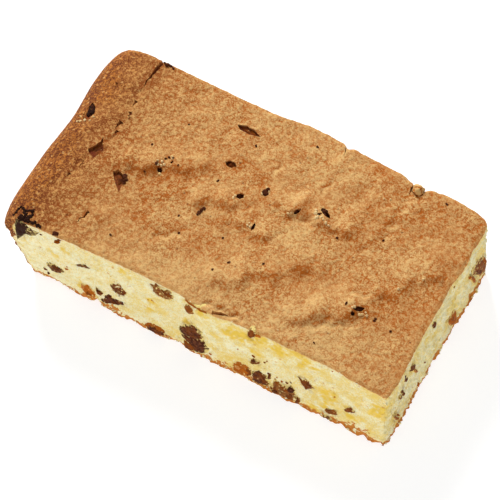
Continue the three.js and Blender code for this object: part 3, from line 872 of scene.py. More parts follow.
def tear_sides(slab, share, points):
    """Roughen the cut sides as a knife leaves crumb, ragged along the base and the upright edges."""
    along, across, up = share.T
    front = across < EDGE
    back = across > 1 - EDGE
    end = along > 1 - EDGE
    tin = along < EDGE
    cut = front | back | end
    sideways = 1 * back - front
    skin = points[cut]
    torn = noise_sum(skin, TORN) + (0.3 + 0.2 * end[cut]) * noise_at(skin, 1.2, 8)
    near = raisin_nearness(skin, [node for node in raisin_nodes() if "_top_" not in node])
    torn = torn * (1 - 0.3 * near) - 0.12 * near
    fringe = np.clip(1 - skin[:, 2] / 3, 0, 1) * noise_sum(skin, FRINGE)
    below_crust = np.clip((1 - up[cut]) / 0.06, 0.3, 1)
    move = np.zeros(len(points))
    move[cut] = slab.ragged * np.where(end[cut], 1.5, 1.0) * torn * below_crust + fringe
    points[:, 0] += move * end
    points[:, 1] += move * sideways
    for place, depth, half in BASE_BITES:
        bite = depth * bell(points[front, 0] - place, half)
        points[front, 1] += bite * np.clip(1 - points[front, 2] / 5, 0, 1)
    corner = np.minimum(across, 1 - across) * slab.width
    from_end = np.clip(1 - (1 - along) * slab.length / slab.cut_corner, 0, 1) ** 2
    from_side = np.clip(1 - corner / slab.cut_corner, 0, 1) ** 2
    broken = (from_end > 0) & cut | (from_side > 0) & end
    crumbling = 1 + noise_sum(points[broken], CORNER_CRUMBLE)
    from_end[broken] *= crumbling
    from_side[broken] *= crumbling
    points[:, 0] -= 0.3 * slab.cut_corner * from_side * end
    points[:, 1] -= 0.3 * slab.cut_corner * from_end * sideways
    points[tin, 0] -= noise_sum(points[tin], TIN_SKIN)
    edge = (along < 0.03) & (corner < 4) & (up < 0.97)
    notch = noise_sum(points[edge], TIN_NOTCHES) - 0.2
    points[edge, 0] -= notch * bell(corner[edge], 1.6) * np.clip(1 - along[edge] / 0.03, 0, 1)


def raise_crust(slab, share, points):
    """Give the crust its uneven skin and crumble its cut edges."""
    crust = share[:, 2] > 1 - EDGE
    gap = np.clip(side_gap(slab, points[crust]), 0, None)
    crumbled = (0.4 + 0.45 * noise_at(points[crust], 2.6, 25)) * bell(gap, 0.8)
    points[crust, 2] += crust_lumps(*points[crust, :2].T) - crumbled


def raisin_nodes():
    """Names of the CAD raisins, in order."""
    return sorted(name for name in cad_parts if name.startswith("raisin_"))


def raisin_seed(node):
    """A number of its own for each raisin."""
    side, number = node.split("_")[1:]
    return SIDES.index(side) * 30 + int(number)


def raisin_frame(node):
    """Middle, axes and half sizes of a raisin in mm, from its CAD solid."""
    corners = np.unique(np.round(points_of(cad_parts[node]), 6), axis=0)
    middle = corners.mean(axis=0)
    axes = np.linalg.svd(corners - middle)[2]
    axes[2] *= np.sign(np.linalg.det(axes))
    halves = np.abs((corners - middle) @ axes.T).max(axis=0)
    return middle / MM, axes, halves / MM


def raisin_nearness(points, nodes):
    """How near each point is to a raisin, from 0 to 1."""
    near = np.zeros(len(points))
    for node in nodes:
        middle, axes, halves = raisin_frame(node)
        reach = np.linalg.norm((points - middle) @ axes.T / halves, axis=1)
        near = np.maximum(near, bell(np.clip((reach - 1) * halves.min(), 0, None), 0.8))
    return near


def sink_of(slab, node):
    """How far a raisin lies below its CAD place in mm, so that its top is just under the crust's skin."""
    if node not in SLITS and node not in HOLES:
        return 0.0
    middle, axes, halves = raisin_frame(node)
    over = middle[2] + np.linalg.norm(axes[:, 2] * halves) - crust_height(slab, middle[:1], middle[1:2])[0]
    return over + HOLE_COVER if node in HOLES else max(0.0, over + SLIT_COVER)


def add_ball(detail):
    """A faceted ball of radius 1 at the origin, and its vertices."""
    select_only()
    bpy.ops.mesh.primitive_ico_sphere_add(subdivisions=detail, radius=1)
    ball = bpy.context.object
    return ball, points_of(ball)


def lumpy(unit, seed):
    """A ball's vertices pushed into the broad, uneven form of a dried raisin."""
    lumps = noise_sum(unit, ((0.3, 0.8, seed + 40), (0.14, 0.4, seed + 41)))
    return unit * (0.97 + lumps)[:, None]


def shape_cutter(cutter, points):
    """A cutter with its vertices at these points, whose cuts belong to the crust."""
    set_points(cutter, points)
    paint(cutter, [1] * len(cutter.data.polygons))
    return cutter


def pocket_cutters(slab, nodes):
    """Rough hollows round the raisins of the crust, open towards the outside."""
    cutters = []
    for node in nodes:
        middle, axes, halves = raisin_frame(node)
        seed = raisin_seed(node)
        cutter, unit = add_ball(3)
        ragged = 1 + 0.2 * noise_at(unit, 0.42, seed + 90)
        shape = lumpy(unit, seed) * ragged[:, None] * (halves + POCKET_GAP) @ axes
        rise = 0 if node in SLITS else POCKET_RISE
        shape[:, 2] += np.where(shape[:, 2] > 0.4 * halves.min(), rise, 0) - sink_of(slab, node)
        cutters.append(shape_cutter(cutter, middle + shape))
    return cutters


def slit_outline(x, y, length, width, turn):
    """Corners of a pointed slit."""
    long_side = np.array((math.cos(math.radians(turn)), math.sin(math.radians(turn)))) * length / 2
    short_side = np.array((-long_side[1], long_side[0])) / length * width
    return (x, y) + SLIT_SHAPE[:, :1] * long_side + SLIT_SHAPE[:, 1:] * short_side


def hole_cutters(slab):
    """Jagged shafts that tear the crust open over the sunken raisins."""
    shafts = [(np.reshape(outline, (-1, 2)), *HOLE_SHAFT) for outline in HOLES.values()]
    shafts += [(slit_outline(*slit), *SLIT_SHAFT) for slits in SLITS.values() for slit in slits]
    cutters = []
    for seed, (corners, jagged, depth) in enumerate(shafts):
        select_only()
        bpy.ops.mesh.primitive_cylinder_add(vertices=SHAFT_CORNERS, depth=1, end_fill_type="TRIFAN")
        cutter = bpy.context.object
        unit = points_of(cutter)
        rim = walk(corners, SHAFT_CORNERS, closed=True)
        centre = rim.mean(axis=0)
        spoke = rim - centre
        jag = jagged * noise_at(rim, 0.9, seed + 51) / np.linalg.norm(spoke, axis=1)
        turn = np.arctan2(unit[:, 1], unit[:, 0])
        order = np.round(turn / (2 * np.pi) * SHAFT_CORNERS).astype(int) % SHAFT_CORNERS
        top = unit[:, 2] > 0
        scale = np.where(np.hypot(unit[:, 0], unit[:, 1]) > 0.5, np.where(top, 1.0, 0.8), 0)
        plan = centre + (spoke * (1 + jag)[:, None])[order] * scale[:, None]
        level = crust_height(slab, centre[:1], centre[1:])[0] + np.where(top, SHAFT_RISE, -depth)
        cutters.append(shape_cutter(cutter, np.column_stack([plan, level])))
        edit_all(bpy.ops.mesh.normals_make_consistent, inside=False)
    return cutters


def crack_cutters(slab):
    """Ragged wedges that cut the cracks and notches."""
    place = (0.5, 0, 0)
    cutters = []
    for seed, (start, end, width, depth) in enumerate(CRACKS):
        select_only()
        bpy.ops.mesh.primitive_grid_add(x_subdivisions=CRACK_STEPS, y_subdivisions=2, size=1, location=place)
        cutter = bpy.context.object
        bpy.ops.object.transform_apply(location=True, rotation=True, scale=True)
        edit_all(bpy.ops.mesh.extrude_region_move, TRANSFORM_OT_translate={"value": (0, 0, 1)})
        edit_all(bpy.ops.mesh.normals_make_consistent, inside=False)
        share, beside, up = points_of(cutter).T
        run = np.subtract(end, start)
        across = np.array((-run[1], run[0])) / np.hypot(*run)
        taper = width * (1.05 - share) * (0.35 + 0.65 * up * (depth + CRACK_RISE) / depth)
        jog = noise_at(np.stack([share * 22, beside * 0.2], axis=1), 3.2, seed + 31)
        rag = noise_at(np.stack([share * 22, beside * 9, up * 3], axis=1), 1.3, seed + 41)
        offset = beside * taper + 1.1 * jog * np.sin(np.pi * share) + 0.28 * width * rag * (1 - share)
        plan = np.array(start) + share[:, None] * run + offset[:, None] * across
        inner = np.array(start) + 0.7 * run
        floor = crust_height(slab, inner[:1], inner[1:])[0] - depth * (1.05 - 0.7 * share)
        cutters.append(shape_cutter(cutter, np.column_stack([plan, floor + (depth + CRACK_RISE) * up])))
    return cutters


def cut_away(sponge, cutters):
    """Subtract cutters from the sponge and drop them."""
    cutter = join(cutters, "cutter")
    select_only(sponge)
    bpy.ops.object.modifier_add(type="BOOLEAN")
    modifier = sponge.modifiers[-1]
    modifier.operation = "DIFFERENCE"
    modifier.solver = "MANIFOLD"
    modifier.object = cutter
    bpy.ops.object.modifier_apply(modifier=modifier.name)
    bpy.data.objects.remove(cutter)


def part_crust(sponge):
    """Separate the crust's faces from the cut sides, as two pieces that meet edge to edge."""
    select_only(sponge)
    edit_all(bpy.ops.mesh.separate, type="MATERIAL")
    pieces = sorted(bpy.context.selected_objects, key=lambda piece: points_of(piece)[:, 2].mean())
    if len(pieces) != 2:
        raise RuntimeError(f"the slab came apart in {len(pieces)} pieces, not 2")
    return [named(piece, name) for piece, name in zip(pieces, SLAB_MATERIALS)]


def mark_crust(piece, slab):
    """Keep what the materials need to know about the crust at each point: its edge, hollows, tones and
    painted shade.
    """
    points = points_of(piece) / MM
    x, y, z = points.T
    depth = on_crust(slab, x, y)[:, 2] - z
    gap = side_gap(slab, points)
    behind = tin_depth(slab, points)
    hollow = smooth_step(gap, 1.2, 2.2) * smooth_step(depth, 0.2, 0.6)
    store(piece, "toasted", hollow * smooth_step(behind, 1.0, 2.0))
    store(piece, "crust_depth", np.minimum(depth, behind - 4 * smooth_step(z, 23, 28)))
    inland = x + slab.length / 2 - BROWN_START + 6 * noise_at(points * (1, 1, 0), 9, 61)
    store(piece, "browning", np.exp(-np.clip(inland, 0, None) / BROWN_RUN))
    store(piece, "relief", over_plan(x, y, BLISTERS))
    # Painted shade and light: the crust is darker on slopes that fall away from the main light and paler
    # over the sunlit front, darker towards the cut end, and darker or paler in the listed patches.
    sunlit = smooth_step(y, -22, -40) * smooth_step(x, -70, -40) * smooth_step(x, 85, 60)
    shade = crust_shade(x, y) - 0.7 * sunlit + 0.25 * smooth_step(x, 45, 75)
    for along, across, radius, darker in CRUST_PATCHES:
        shade += darker * bell(np.hypot(x - along, y - across), radius)
    store(piece, "shade", shade)
    store(piece, "rim", bell(np.clip(gap, 0, None), 1.3))


def mark_crumb(piece, slab, nodes):
    """Keep what the materials need to know about the crumb at each point: its stains and yellow patches."""
    points = points_of(piece) / MM
    x, _, z = points.T
    store(piece, "stained", raisin_nearness(points, nodes))
    gaps = side_gaps(slab, points)
    front, back, end = (smooth_step(gaps[side], 3, 1) for side in ("front", "back", "end"))
    course = np.where(back > front, -x, x)
    clouds = np.clip(0.5 + 1.2 * noise_at(points, 7, 72), 0, 1)
    yolk = clouds * (0.34 * smooth_step(course, -100, 10) * (0.3 + 0.7 * (front + back)) + 0.2 * end)
    fine = noise_sum(points, ((0.8, 2.4, 71), (0.7, 1.1, 75)))
    streaks = np.clip(0.85 + fine, 0, 1.3) * (front + back) * (0.5 + 0.5 * smooth_step(course, -40, 0))
    stray = course + 2.6 * noise_at(points, 3.2, 73)
    lifted = z + 2.6 * noise_at(points, 3.2, 74)
    for along, up, radius in YOLK_PATCHES:
        yolk = np.maximum(yolk, bell(np.hypot(stray - along, lifted - up), radius) * streaks)
    store(piece, "yolk", yolk)
    scorch = sum(rise * np.exp(-(((course - along) / half) ** 4)) for along, rise, half in SCORCHES)
    store(piece, "scorch", scorch * (front + back))


# Fruit and crumbs

def raisin_creases(unit, seed):
    """How deep in one of a raisin's long creases each vertex of its ball lies, from 0 to 1."""
    folds = noise_sum(unit * (1.2, 2.6, 2.6), ((1, 1.15, seed), (0.35, 0.5, seed + 80)))
    return bell(folds, 0.13)


def outline_of(node):
    """Uneven outline of a CAD raisin on its cut side in mm, from its outermost corner in 14 directions."""
    flat = points_of(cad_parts[node]) / MM @ FACES[node.split("_")[1]][:2].T
    middle = flat.mean(axis=0)
    spoke = flat - middle
    reach = np.hypot(*spoke.T)
    sector = np.floor((np.arctan2(spoke[:, 1], spoke[:, 0]) / np.pi + 1) * 7).astype(int)
    outermost = [np.flatnonzero(sector == number) for number in np.unique(sector)]
    rim = np.array([flat[group[reach[group].argmax()]] for group in outermost])
    uneven = 0.9 + 0.7 * noise_at(rim, 4, raisin_seed(node))
    return middle + (rim - middle) * uneven[:, None]


def slices_of(node, number):
    """Slices of a raisin: how light each is, how much crumb covers it, and its outline in mm."""
    if node in FRUIT:
        return [(light, crumbed, np.reshape(outline, (-1, 2))) for light, crumbed, *outline in FRUIT[node]]
    outline = outline_of(node)
    tone = HIDDEN_TONES[number % len(HIDDEN_TONES)]
    slices = [(tone, HIDDEN_CRUMB[number % len(HIDDEN_CRUMB)], outline)]
    if number % 3 > 0:
        core = outline.mean(axis=0) + 0.6 * (outline - outline.mean(axis=0)) + (0.9, -0.7)
        slices.append((0.6 * tone - 0.05, 0.15, core))
    return slices


def spokes(corners, turn):
    """The middle of an outline and its reach in each of these directions."""
    rim = walk(corners, OUTLINE_STEPS, closed=True)
    centre = rim.mean(axis=0)
    spoke = rim - centre
    angle = np.arctan2(spoke[:, 1], spoke[:, 0])
    order = np.argsort(angle)
    return centre, np.interp(turn, angle[order], np.hypot(*spoke.T)[order], period=2 * np.pi)


def slice_of_fruit(slab, side, corners, crumbed, lift, seed):
    """A raisin sliced nearly flush with a cut side, its round back in the crumb and crumb over its rim."""
    along, up, outward = FACES[side]
    size = np.ptp(corners, axis=0).max()
    fruit, unit = add_ball(4 if size > 5 else 3)
    centre, reach = spokes(corners, np.arctan2(unit[:, 1], unit[:, 0]))
    share = np.hypot(unit[:, 0], unit[:, 1])
    jag = 0.4 * noise_at(centre + unit[:, :2] * reach[:, None], 0.9, seed)
    plan = centre + unit[:, :2] * (1.19 * reach + jag)[:, None]
    flat = plan[:, :1] * along + plan[:, 1:] * up
    skin = flat + outward * side_gaps(slab, flat)[side][:, None]
    skin[:, 2] = np.clip(skin[:, 2], 0.4, crust_height(slab, skin[:, 0], skin[:, 1]) + 0.2)
    wrinkles = noise_sum(skin, ((0.35, 1.7, seed + 1), (0.3, 0.8, seed + 2)))
    covered = 0.6 * crumbed * np.clip(noise_at(skin, 1.5, seed + 3) + 0.1, 0, 1)
    face = (0.85 + lift + wrinkles - covered) * (1 - share**4)
    back = -min(0.35 * size, 4) * np.sqrt(np.clip(1 - share**2, 0, 1))
    height = np.where(unit[:, 2] > 0, face, back) - 0.3
    set_points(fruit, skin + outward * height[:, None])
    store(fruit, "fruit_rim", np.where(unit[:, 2] > 0, share, 1))
    store(fruit, "crumbed", crumbed)
    return fruit


def sunken_raisin(slab, node, tone):
    """A whole, wrinkled raisin under the crust, with painted shade darkening its creases."""
    middle, axes, halves = raisin_frame(node)
    middle[2] -= sink_of(slab, node)
    raisin, unit = add_ball(4)
    seed = raisin_seed(node)
    creases = raisin_creases(unit, seed)
    shape = lumpy(unit, seed) - unit * (0.13 * creases)[:, None]
    set_points(raisin, middle + shape * halves @ axes)
    # Painted shade: the tone is lowered in the creases.
    store(raisin, "amber", tone * (1 - 0.8 * creases))
    return raisin


def make_raisins(slab, side):
    """Raisins in the places of one side's CAD raisins, joined in one piece."""
    nodes = [name for name in raisin_nodes() if f"_{side}_" in name]
    raisins = []
    for number, node in enumerate(nodes):
        if side == "top":
            raisins.append(sunken_raisin(slab, node, TOP_TONES[number]))
            continue
        for count, (light, crumbed, corners) in enumerate(slices_of(node, number)):
            seed = 10 * raisin_seed(node) + count
            fruit = slice_of_fruit(slab, side, corners, crumbed, 0.12 * count, seed)
            store(fruit, "amber", light)
            raisins.append(fruit)
    return join(raisins, f"raisins_{side}"), nodes


def joined_lumps(name, places, radii, flatten, seed):
    """Many small rough lumps at these places in mm, as one mesh from arrays."""
    ball, unit = add_ball(2)
    faces = np.array([tuple(face.vertices) for face in ball.data.polygons])
    bpy.data.objects.remove(ball)
    draw = np.random.default_rng(seed)
    points = []
    corners = []
    for number, (place, radius) in enumerate(zip(places, radii)):
        turn = np.linalg.qr(draw.normal(size=(3, 3)))[0]
        stretch = draw.uniform(0.65, 1.3, size=3)
        rough = 1 + 0.45 * noise_at(unit, 0.75, seed + number)
        lump = (unit * rough[:, None] * stretch) @ turn
        lump[:, 2] *= flatten
        corners.append(faces + len(unit) * number)
        points.append(place + lump * radius)
    mesh = bpy.data.meshes.new(name)
    mesh.from_pydata((np.concatenate(points) * MM).tolist(), [], np.concatenate(corners).tolist())
    mesh.update()
    piece = bpy.data.objects.new(name, mesh)
    bpy.context.scene.collection.objects.link(piece)
    return piece


def lumps_along(lines, draw):
    """Points scattered closely along lines in a plane, with a radius each."""
    spots = []
    radii = []
    for line, thickness in lines:
        count = int(np.linalg.norm(np.diff(line, axis=0), axis=1).sum() / BURNT_SPACING)
        spots.append(walk(line, count, closed=False) + draw.normal(0, BURNT_SPREAD, (count, 2)))
        radii.append(thickness * draw.uniform(0.45, 1.0, count))
    return np.concatenate(spots), np.concatenate(radii)


def face_specks(slab):
    """Places, radii and tones of the bits of fruit in the cut sides."""
    places = []
    for side, specks in FACE_SPECKS.items():
        for *spot, size, _ in specks:
            flat = np.array(spot) @ FACES[side][:2]
            gap = side_gaps(slab, flat[None])[side]
            places.append(flat + FACES[side][2] * (gap - 0.15 * size))
    sizes, tones = np.concatenate(list(FACE_SPECKS.values()))[:, 2:].T
    return np.array(places), sizes / 2, tones


def edge_crumbs(settings, slab, draw):
    """Places and radii of crumbs along the cut edges and the base, in mm."""
    piece = bpy.data.objects["cake_sponge"]
    points = points_of(piece) / MM
    z = points[:, 2]
    depth = np.empty(len(points))
    piece.data.attributes["crust_depth"].data.foreach_get("value", depth)
    on_edge = (depth < 1.2) * 0.12
    on_base = (z < 2.5) * (z > 0.4) * 0.8
    weight = (on_edge + on_base) * (side_gap(slab, points) < 1.5)
    chosen = draw.choice(len(points), settings.count, replace=False, p=weight / weight.sum())
    radii = settings.size / MM * np.minimum(draw.lognormal(-0.15, 0.4, settings.count), 1.5)
    radii[depth[chosen] < 1.2] *= 0.7
    return points[chosen] + points_of(piece, "normal")[chosen] * (radii * 0.2)[:, None], radii


# Materials

class Nodes:
    """Adds shader nodes to one tree. Their inputs are numbers, colours or the sockets of other nodes."""

    def __init__(self, tree, place=None):
        self.tree = tree
        if place is None:
            place = self.add("ShaderNodeTexCoord").outputs["Object"]
        self.place = place

    def give(self, node, inputs):
        """Set a node's inputs to values or link them to sockets."""
        for name, value in inputs.items():
            if isinstance(value, bpy.types.NodeSocket):
                self.tree.links.new(value, node.inputs[name])
            else:
                node.inputs[name].default_value = value

    def add(self, kind, inputs=None, **settings):
        """A node with these inputs and settings."""
        node = self.tree.nodes.new(kind)
        for name, value in settings.items():
            setattr(node, name, value)
        self.give(node, inputs or {})
        return node

    def mix(self, factor, first, second, blend="MIX"):
        """A colour between two others."""
        inputs = {0: factor, 6: first, 7: second}
        return self.add("ShaderNodeMix", inputs, data_type="RGBA", blend_type=blend).outputs[2]

    def remap(self, value, low, high, new_low=0.0, new_high=1.0):
        """A value moved from one range to another and kept inside it."""
        inputs = {"Value": value, "From Min": low, "From Max": high, "To Min": new_low, "To Max": new_high}
        return self.add("ShaderNodeMapRange", inputs).outputs[0]

    def maths(self, operation, *values):
        """The result of an operation on two or three values."""
        return self.add("ShaderNodeMath", dict(enumerate(values)), operation=operation).outputs[0]

    def times(self, first, second):
        """The product of two values."""
        return self.maths("MULTIPLY", first, second)

    def less(self, first, second):
        """The difference of two values."""
        return self.maths("SUBTRACT", first, second)

    def weigh(self, *terms):
        """The sum of values, each times its weight."""
        total = 0.0
        for value, weight in terms:
            total = self.maths("MULTIPLY_ADD", value, weight, total)
        return total

    def noise(self, scale, detail=2.0, roughness=0.5):
        """A noise value from 0 to 1."""
        inputs = {"Vector": self.place, "Scale": scale, "Detail": detail, "Roughness": roughness}
        return self.add("ShaderNodeTexNoise", inputs).outputs[0]

    def cells(self, scale, place=None, feature="F1"):
        """Scattered cells: distance to the nearest middle or edge, and a colour for each cell."""
        inputs = {"Vector": self.place if place is None else place, "Scale": scale}
        return self.add("ShaderNodeTexVoronoi", inputs, feature=feature).outputs

    def stored(self, name):
        """A number stored on the mesh."""
        return self.add("ShaderNodeAttribute", attribute_name=name).outputs["Fac"]

    def moved(self, scale, reach):
        """The place moved about at random."""
        wander = self.add("ShaderNodeTexNoise", {"Vector": self.place, "Scale": scale, "Detail": 2.0})
        inputs = {0: wander.outputs[1], 1: (0.5, 0.5, 0.5)}
        centred = self.add("ShaderNodeVectorMath", inputs, operation="SUBTRACT")
        shift = self.add("ShaderNodeVectorMath", {0: centred.outputs[0], "Scale": reach}, operation="SCALE")
        inputs = {0: self.place, 1: shift.outputs[0]}
        return self.add("ShaderNodeVectorMath", inputs, operation="ADD").outputs[0]


def new_group(name, values, colours):
    """A node group that makes a colour and a height from a place, values and colours, and its inputs."""
    group = bpy.data.node_groups.new(name, "ShaderNodeTree")
    sockets = {"Place": "Vector"} | dict.fromkeys(values, "Float") | dict.fromkeys(colours, "Color")
    for socket, kind in sockets.items():
        group.interface.new_socket(socket, in_out="INPUT", socket_type=f"NodeSocket{kind}")
    for socket, kind in {"Color": "Color", "Height": "Float"}.items():
        group.interface.new_socket(socket, in_out="OUTPUT", socket_type=f"NodeSocket{kind}")
    given = group.nodes.new("NodeGroupInput").outputs
    return Nodes(group, given["Place"]), given


def skin_group():
    """Browned crust: pale blisters in a darker network, finely pitted, darker at the tin end, with painted
    shade in its lower blisters, its pits and where the stored shade marks it.
    """
    tones = ("Light", "Dark", "Tin light", "Tin dark")
    nodes, given = new_group("Crust skin", ("Browning", "Relief", "Shade"), tones)
    browning = given["Browning"]
    moved = nodes.moved(520.0, 0.0021)
    edges = nodes.cells(560.0, moved, "DISTANCE_TO_EDGE")["Distance"]
    cells = nodes.cells(540.0, moved)
    dotted = nodes.remap(cells["Distance"], 0.66, 0.16)
    broken = nodes.remap(nodes.noise(190.0, 3.0, 0.6), 0.42, 0.6, 0.45, 1.0)
    crackled = nodes.less(1.0, nodes.times(nodes.remap(edges, 0.22, 0.01), broken))
    beyond = nodes.remap(browning, 0.0, 0.4, 0.35, 1.0)
    blister = nodes.weigh((crackled, 1.0), (nodes.less(dotted, crackled), beyond))
    speckle = nodes.remap(nodes.noise(620.0, 4.0, 0.75), 0.38, 0.62)
    blotch = nodes.remap(nodes.noise(230.0, 3.0, 0.62), 0.36, 0.64)
    patchy = nodes.remap(nodes.noise(55.0, 3.0, 0.6), 0.36, 0.64, 0.65, 1.05)
    dust = nodes.remap(nodes.noise(1500.0), 0.36, 0.64)
    fine = nodes.weigh((blister, 0.46), (speckle, 0.46), (blotch, 0.08), (dust, 0.4))
    fine = nodes.remap(fine, 0.42, 1.02)
    broad = nodes.remap(nodes.noise(30.0, 3.0, 0.55), 0.36, 0.64, -0.12, 0.12)
    flat = nodes.times(nodes.less(fine, 0.55), patchy)
    # Painted shade: lower blisters and the stored shade darken the pattern, and a shade below 0 paints it
    # paler.
    painted_shade = nodes.weigh((given["Relief"], 0.22), (given["Shade"], -0.3))
    grainy = nodes.times(nodes.less(dust, 0.5), browning)
    pattern = nodes.weigh((flat, 1.0), (broad, 1.0), (painted_shade, 1.0), (grainy, 0.55), (1.0, 0.6))
    light = nodes.mix(browning, given["Light"], given["Tin light"])
    dark = nodes.mix(browning, given["Dark"], given["Tin dark"])
    colour = nodes.mix(pattern, dark, light)
    dot = nodes.times(nodes.remap(cells["Distance"], 0.4, 0.16), browning)
    chosen = nodes.remap(cells["Color"], 0.35, 0.7, 0.0, 0.5)
    colour = nodes.mix(nodes.times(dot, chosen), colour, given["Light"])
    # Painted shade: a few small pits, sunk by the height, are darkened towards the tin network's colour.
    pits = nodes.cells(230.0)
    pit = nodes.times(nodes.remap(pits["Distance"], 0.13, 0.06), nodes.remap(pits["Color"], 0.55, 0.75))
    colour = nodes.mix(nodes.times(pit, 0.55), colour, given["Tin dark"], "MULTIPLY")
    nodes.add("NodeGroupOutput", {"Color": colour, "Height": nodes.weigh((pattern, 1.0), (pit, -1.5))})
    return nodes.tree


def crumb_group():
    """Cream crumb with fine pores darkened by painted shade, deeper clouds, yellow patches and a few browned
    specks.
    """
    nodes, given = new_group("Crumb", ("Yolk amount",), ("Crumb", "Deep", "Yolk", "Speck"))
    amount = given["Yolk amount"]
    cloudy = nodes.noise(210.0, 6.0, 0.72)
    cloud = nodes.weigh((cloudy, 0.62), (nodes.noise(1300.0), 0.66), (amount, 0.35), (1.0, -0.175))
    colour = nodes.mix(nodes.remap(cloud, 0.38, 0.62), given["Crumb"], given["Deep"])
    yellow = nodes.weigh((nodes.noise(150.0, 8.0, 0.74), 1.0), (amount, 0.52))
    colour = nodes.mix(nodes.remap(yellow, 0.58, 0.86, 0.0, 0.85), colour, given["Yolk"])
    # Painted shade: the pores, sunk by the height, are darkened towards the speck colour.
    open_crumb = nodes.remap(nodes.noise(330.0), 0.5, 0.64)
    pore = nodes.times(nodes.remap(nodes.cells(640.0)["Distance"], 0.46, 0.12), open_crumb)
    colour = nodes.mix(nodes.times(pore, 0.22), colour, given["Speck"])
    dots = nodes.cells(260.0)
    dot = nodes.times(nodes.remap(dots["Distance"], 0.2, 0.1), nodes.remap(dots["Color"], 0.72, 0.8))
    colour = nodes.mix(nodes.times(dot, 0.6), colour, given["Speck"])
    height = nodes.weigh((nodes.noise(1100.0), 0.5), (cloudy, 0.8), (pore, -1.0))
    nodes.add("NodeGroupOutput", {"Color": colour, "Height": height})
    return nodes.tree


def new_material(name):
    """The nodes of a new material."""
    material = bpy.data.materials.new(name)
    material.use_nodes = True
    return Nodes(material.node_tree)


def finish_material(nodes, colour, height, bump, finish):
    """Give a material's shader its colour, its bump and its finish."""
    strength, distance = bump
    bumped = nodes.add("ShaderNodeBump", {"Strength": strength, "Distance": distance, "Height": height})
    shader = nodes.tree.nodes["Principled BSDF"]
    nodes.give(shader, {"Base Color": colour, "Normal": bumped.outputs[0], **finish})


def skin_node(nodes, skin, colours):
    """The crust's skin with the cake's colours."""
    inputs = {name.capitalize(): nodes.stored(name) for name in ("browning", "relief", "shade")}
    inputs |= {"Place": nodes.place, "Light": colours.crust_light, "Dark": colours.crust_dark}
    inputs |= {"Tin light": colours.tin_light, "Tin dark": colours.tin_dark}
    return nodes.add("ShaderNodeGroup", inputs, node_tree=skin).outputs


def crumb_node(nodes, crumb, colours, yolk):
    """The crumb with the cake's colours and this much yolk."""
    inputs = {"Place": nodes.place, "Yolk amount": yolk, "Crumb": colours.crumb, "Deep": colours.crumb_deep}
    inputs |= {"Yolk": colours.yolk, "Speck": colours.base_crust}
    return nodes.add("ShaderNodeGroup", inputs, node_tree=crumb).outputs


def base_mask(nodes, edge):
    """How much of the browned base shows, ragged along its upper edge."""
    height = nodes.add("ShaderNodeSeparateXYZ", {0: nodes.place}).outputs["Z"]
    scorch = nodes.times(nodes.stored("scorch"), nodes.remap(edge, 0.46, 0.57))
    ragged = nodes.noise(150.0, 3.0, 0.6)
    level = nodes.weigh((height, 1.0), (edge, -0.004), (ragged, -0.009), (scorch, -0.001))
    faded = nodes.remap(nodes.stored("browning"), 0.7, 1.0, 1.0, 0.2)
    return nodes.times(nodes.remap(level, -0.0029, -0.0038), faded)


def crust_material(colours, skin):
    """Browned crust with red-brown hollows."""
    nodes = new_material("cake_crust")
    node = skin_node(nodes, skin, colours)
    edge = nodes.noise(480.0, 3.0)
    # Along the cut edges the crust is paler and more orange: partly the colour of its torn edge, partly a
    # painted highlight on the lip.
    rim = nodes.times(nodes.stored("rim"), nodes.remap(edge, 0.35, 0.6, 0.1, 0.55))
    colour = nodes.mix(rim, node["Color"], nodes.mix(0.62, colours.crust_light, colours.base_crust))
    hollow = nodes.mix(nodes.remap(edge, 0.4, 0.65, 0.0, 0.3), colours.toasted, colours.base_crust)
    colour = nodes.mix(nodes.stored("toasted"), colour, hollow)
    colour = nodes.mix(base_mask(nodes, edge), colour, colours.base_crust)
    finish_material(nodes, colour, node["Height"], CRUST_BUMP, CAKE_FINISH)


def sponge_material(colours, skin, crumb):
    """Cream crumb under the line of the crust, with a browned base."""
    nodes = new_material("cake_sponge")
    depth = nodes.stored("crust_depth")
    edge = nodes.noise(480.0, 3.0)
    inside = crumb_node(nodes, crumb, colours, nodes.stored("yolk"))
    stain = nodes.times(nodes.stored("stained"), nodes.remap(edge, 0.4, 0.6, 0.0, 0.36))
    colour = nodes.mix(stain, inside["Color"], colours.toasted)
    colour = nodes.mix(nodes.remap(depth, 3.0, 0.6, 0.0, 0.35), colour, colours.crust_light)
    skin_edge = nodes.weigh((depth, 1.0), (edge, 1.6), (nodes.noise(110.0), 1.5))
    torn = nodes.remap(nodes.stored("browning"), 0.3, 0.9, 0.4, 0.0)
    line = nodes.mix(torn, skin_node(nodes, skin, colours)["Color"], colours.base_crust)
    colour = nodes.mix(nodes.remap(skin_edge, 2.7, 2.15), colour, line)
    colour = nodes.mix(nodes.stored("toasted"), colour, colours.toasted)
    base = nodes.mix(nodes.remap(edge, 0.25, 0.55), colours.crust_dark, colours.base_crust)
    colour = nodes.mix(base_mask(nodes, edge), colour, base)
    finish_material(nodes, colour, inside["Height"], SPONGE_BUMP, CAKE_FINISH)


def crumb_material(colours, crumb):
    """Cream crumb for the loose crumbs."""
    nodes = new_material("cake_crumbs")
    node = crumb_node(nodes, crumb, colours, 0.0)
    colour = nodes.mix(nodes.stored("baked"), node["Color"], colours.crust_light)
    finish_material(nodes, colour, node["Height"], CRUMB_BUMP, CRUMB_FINISH)


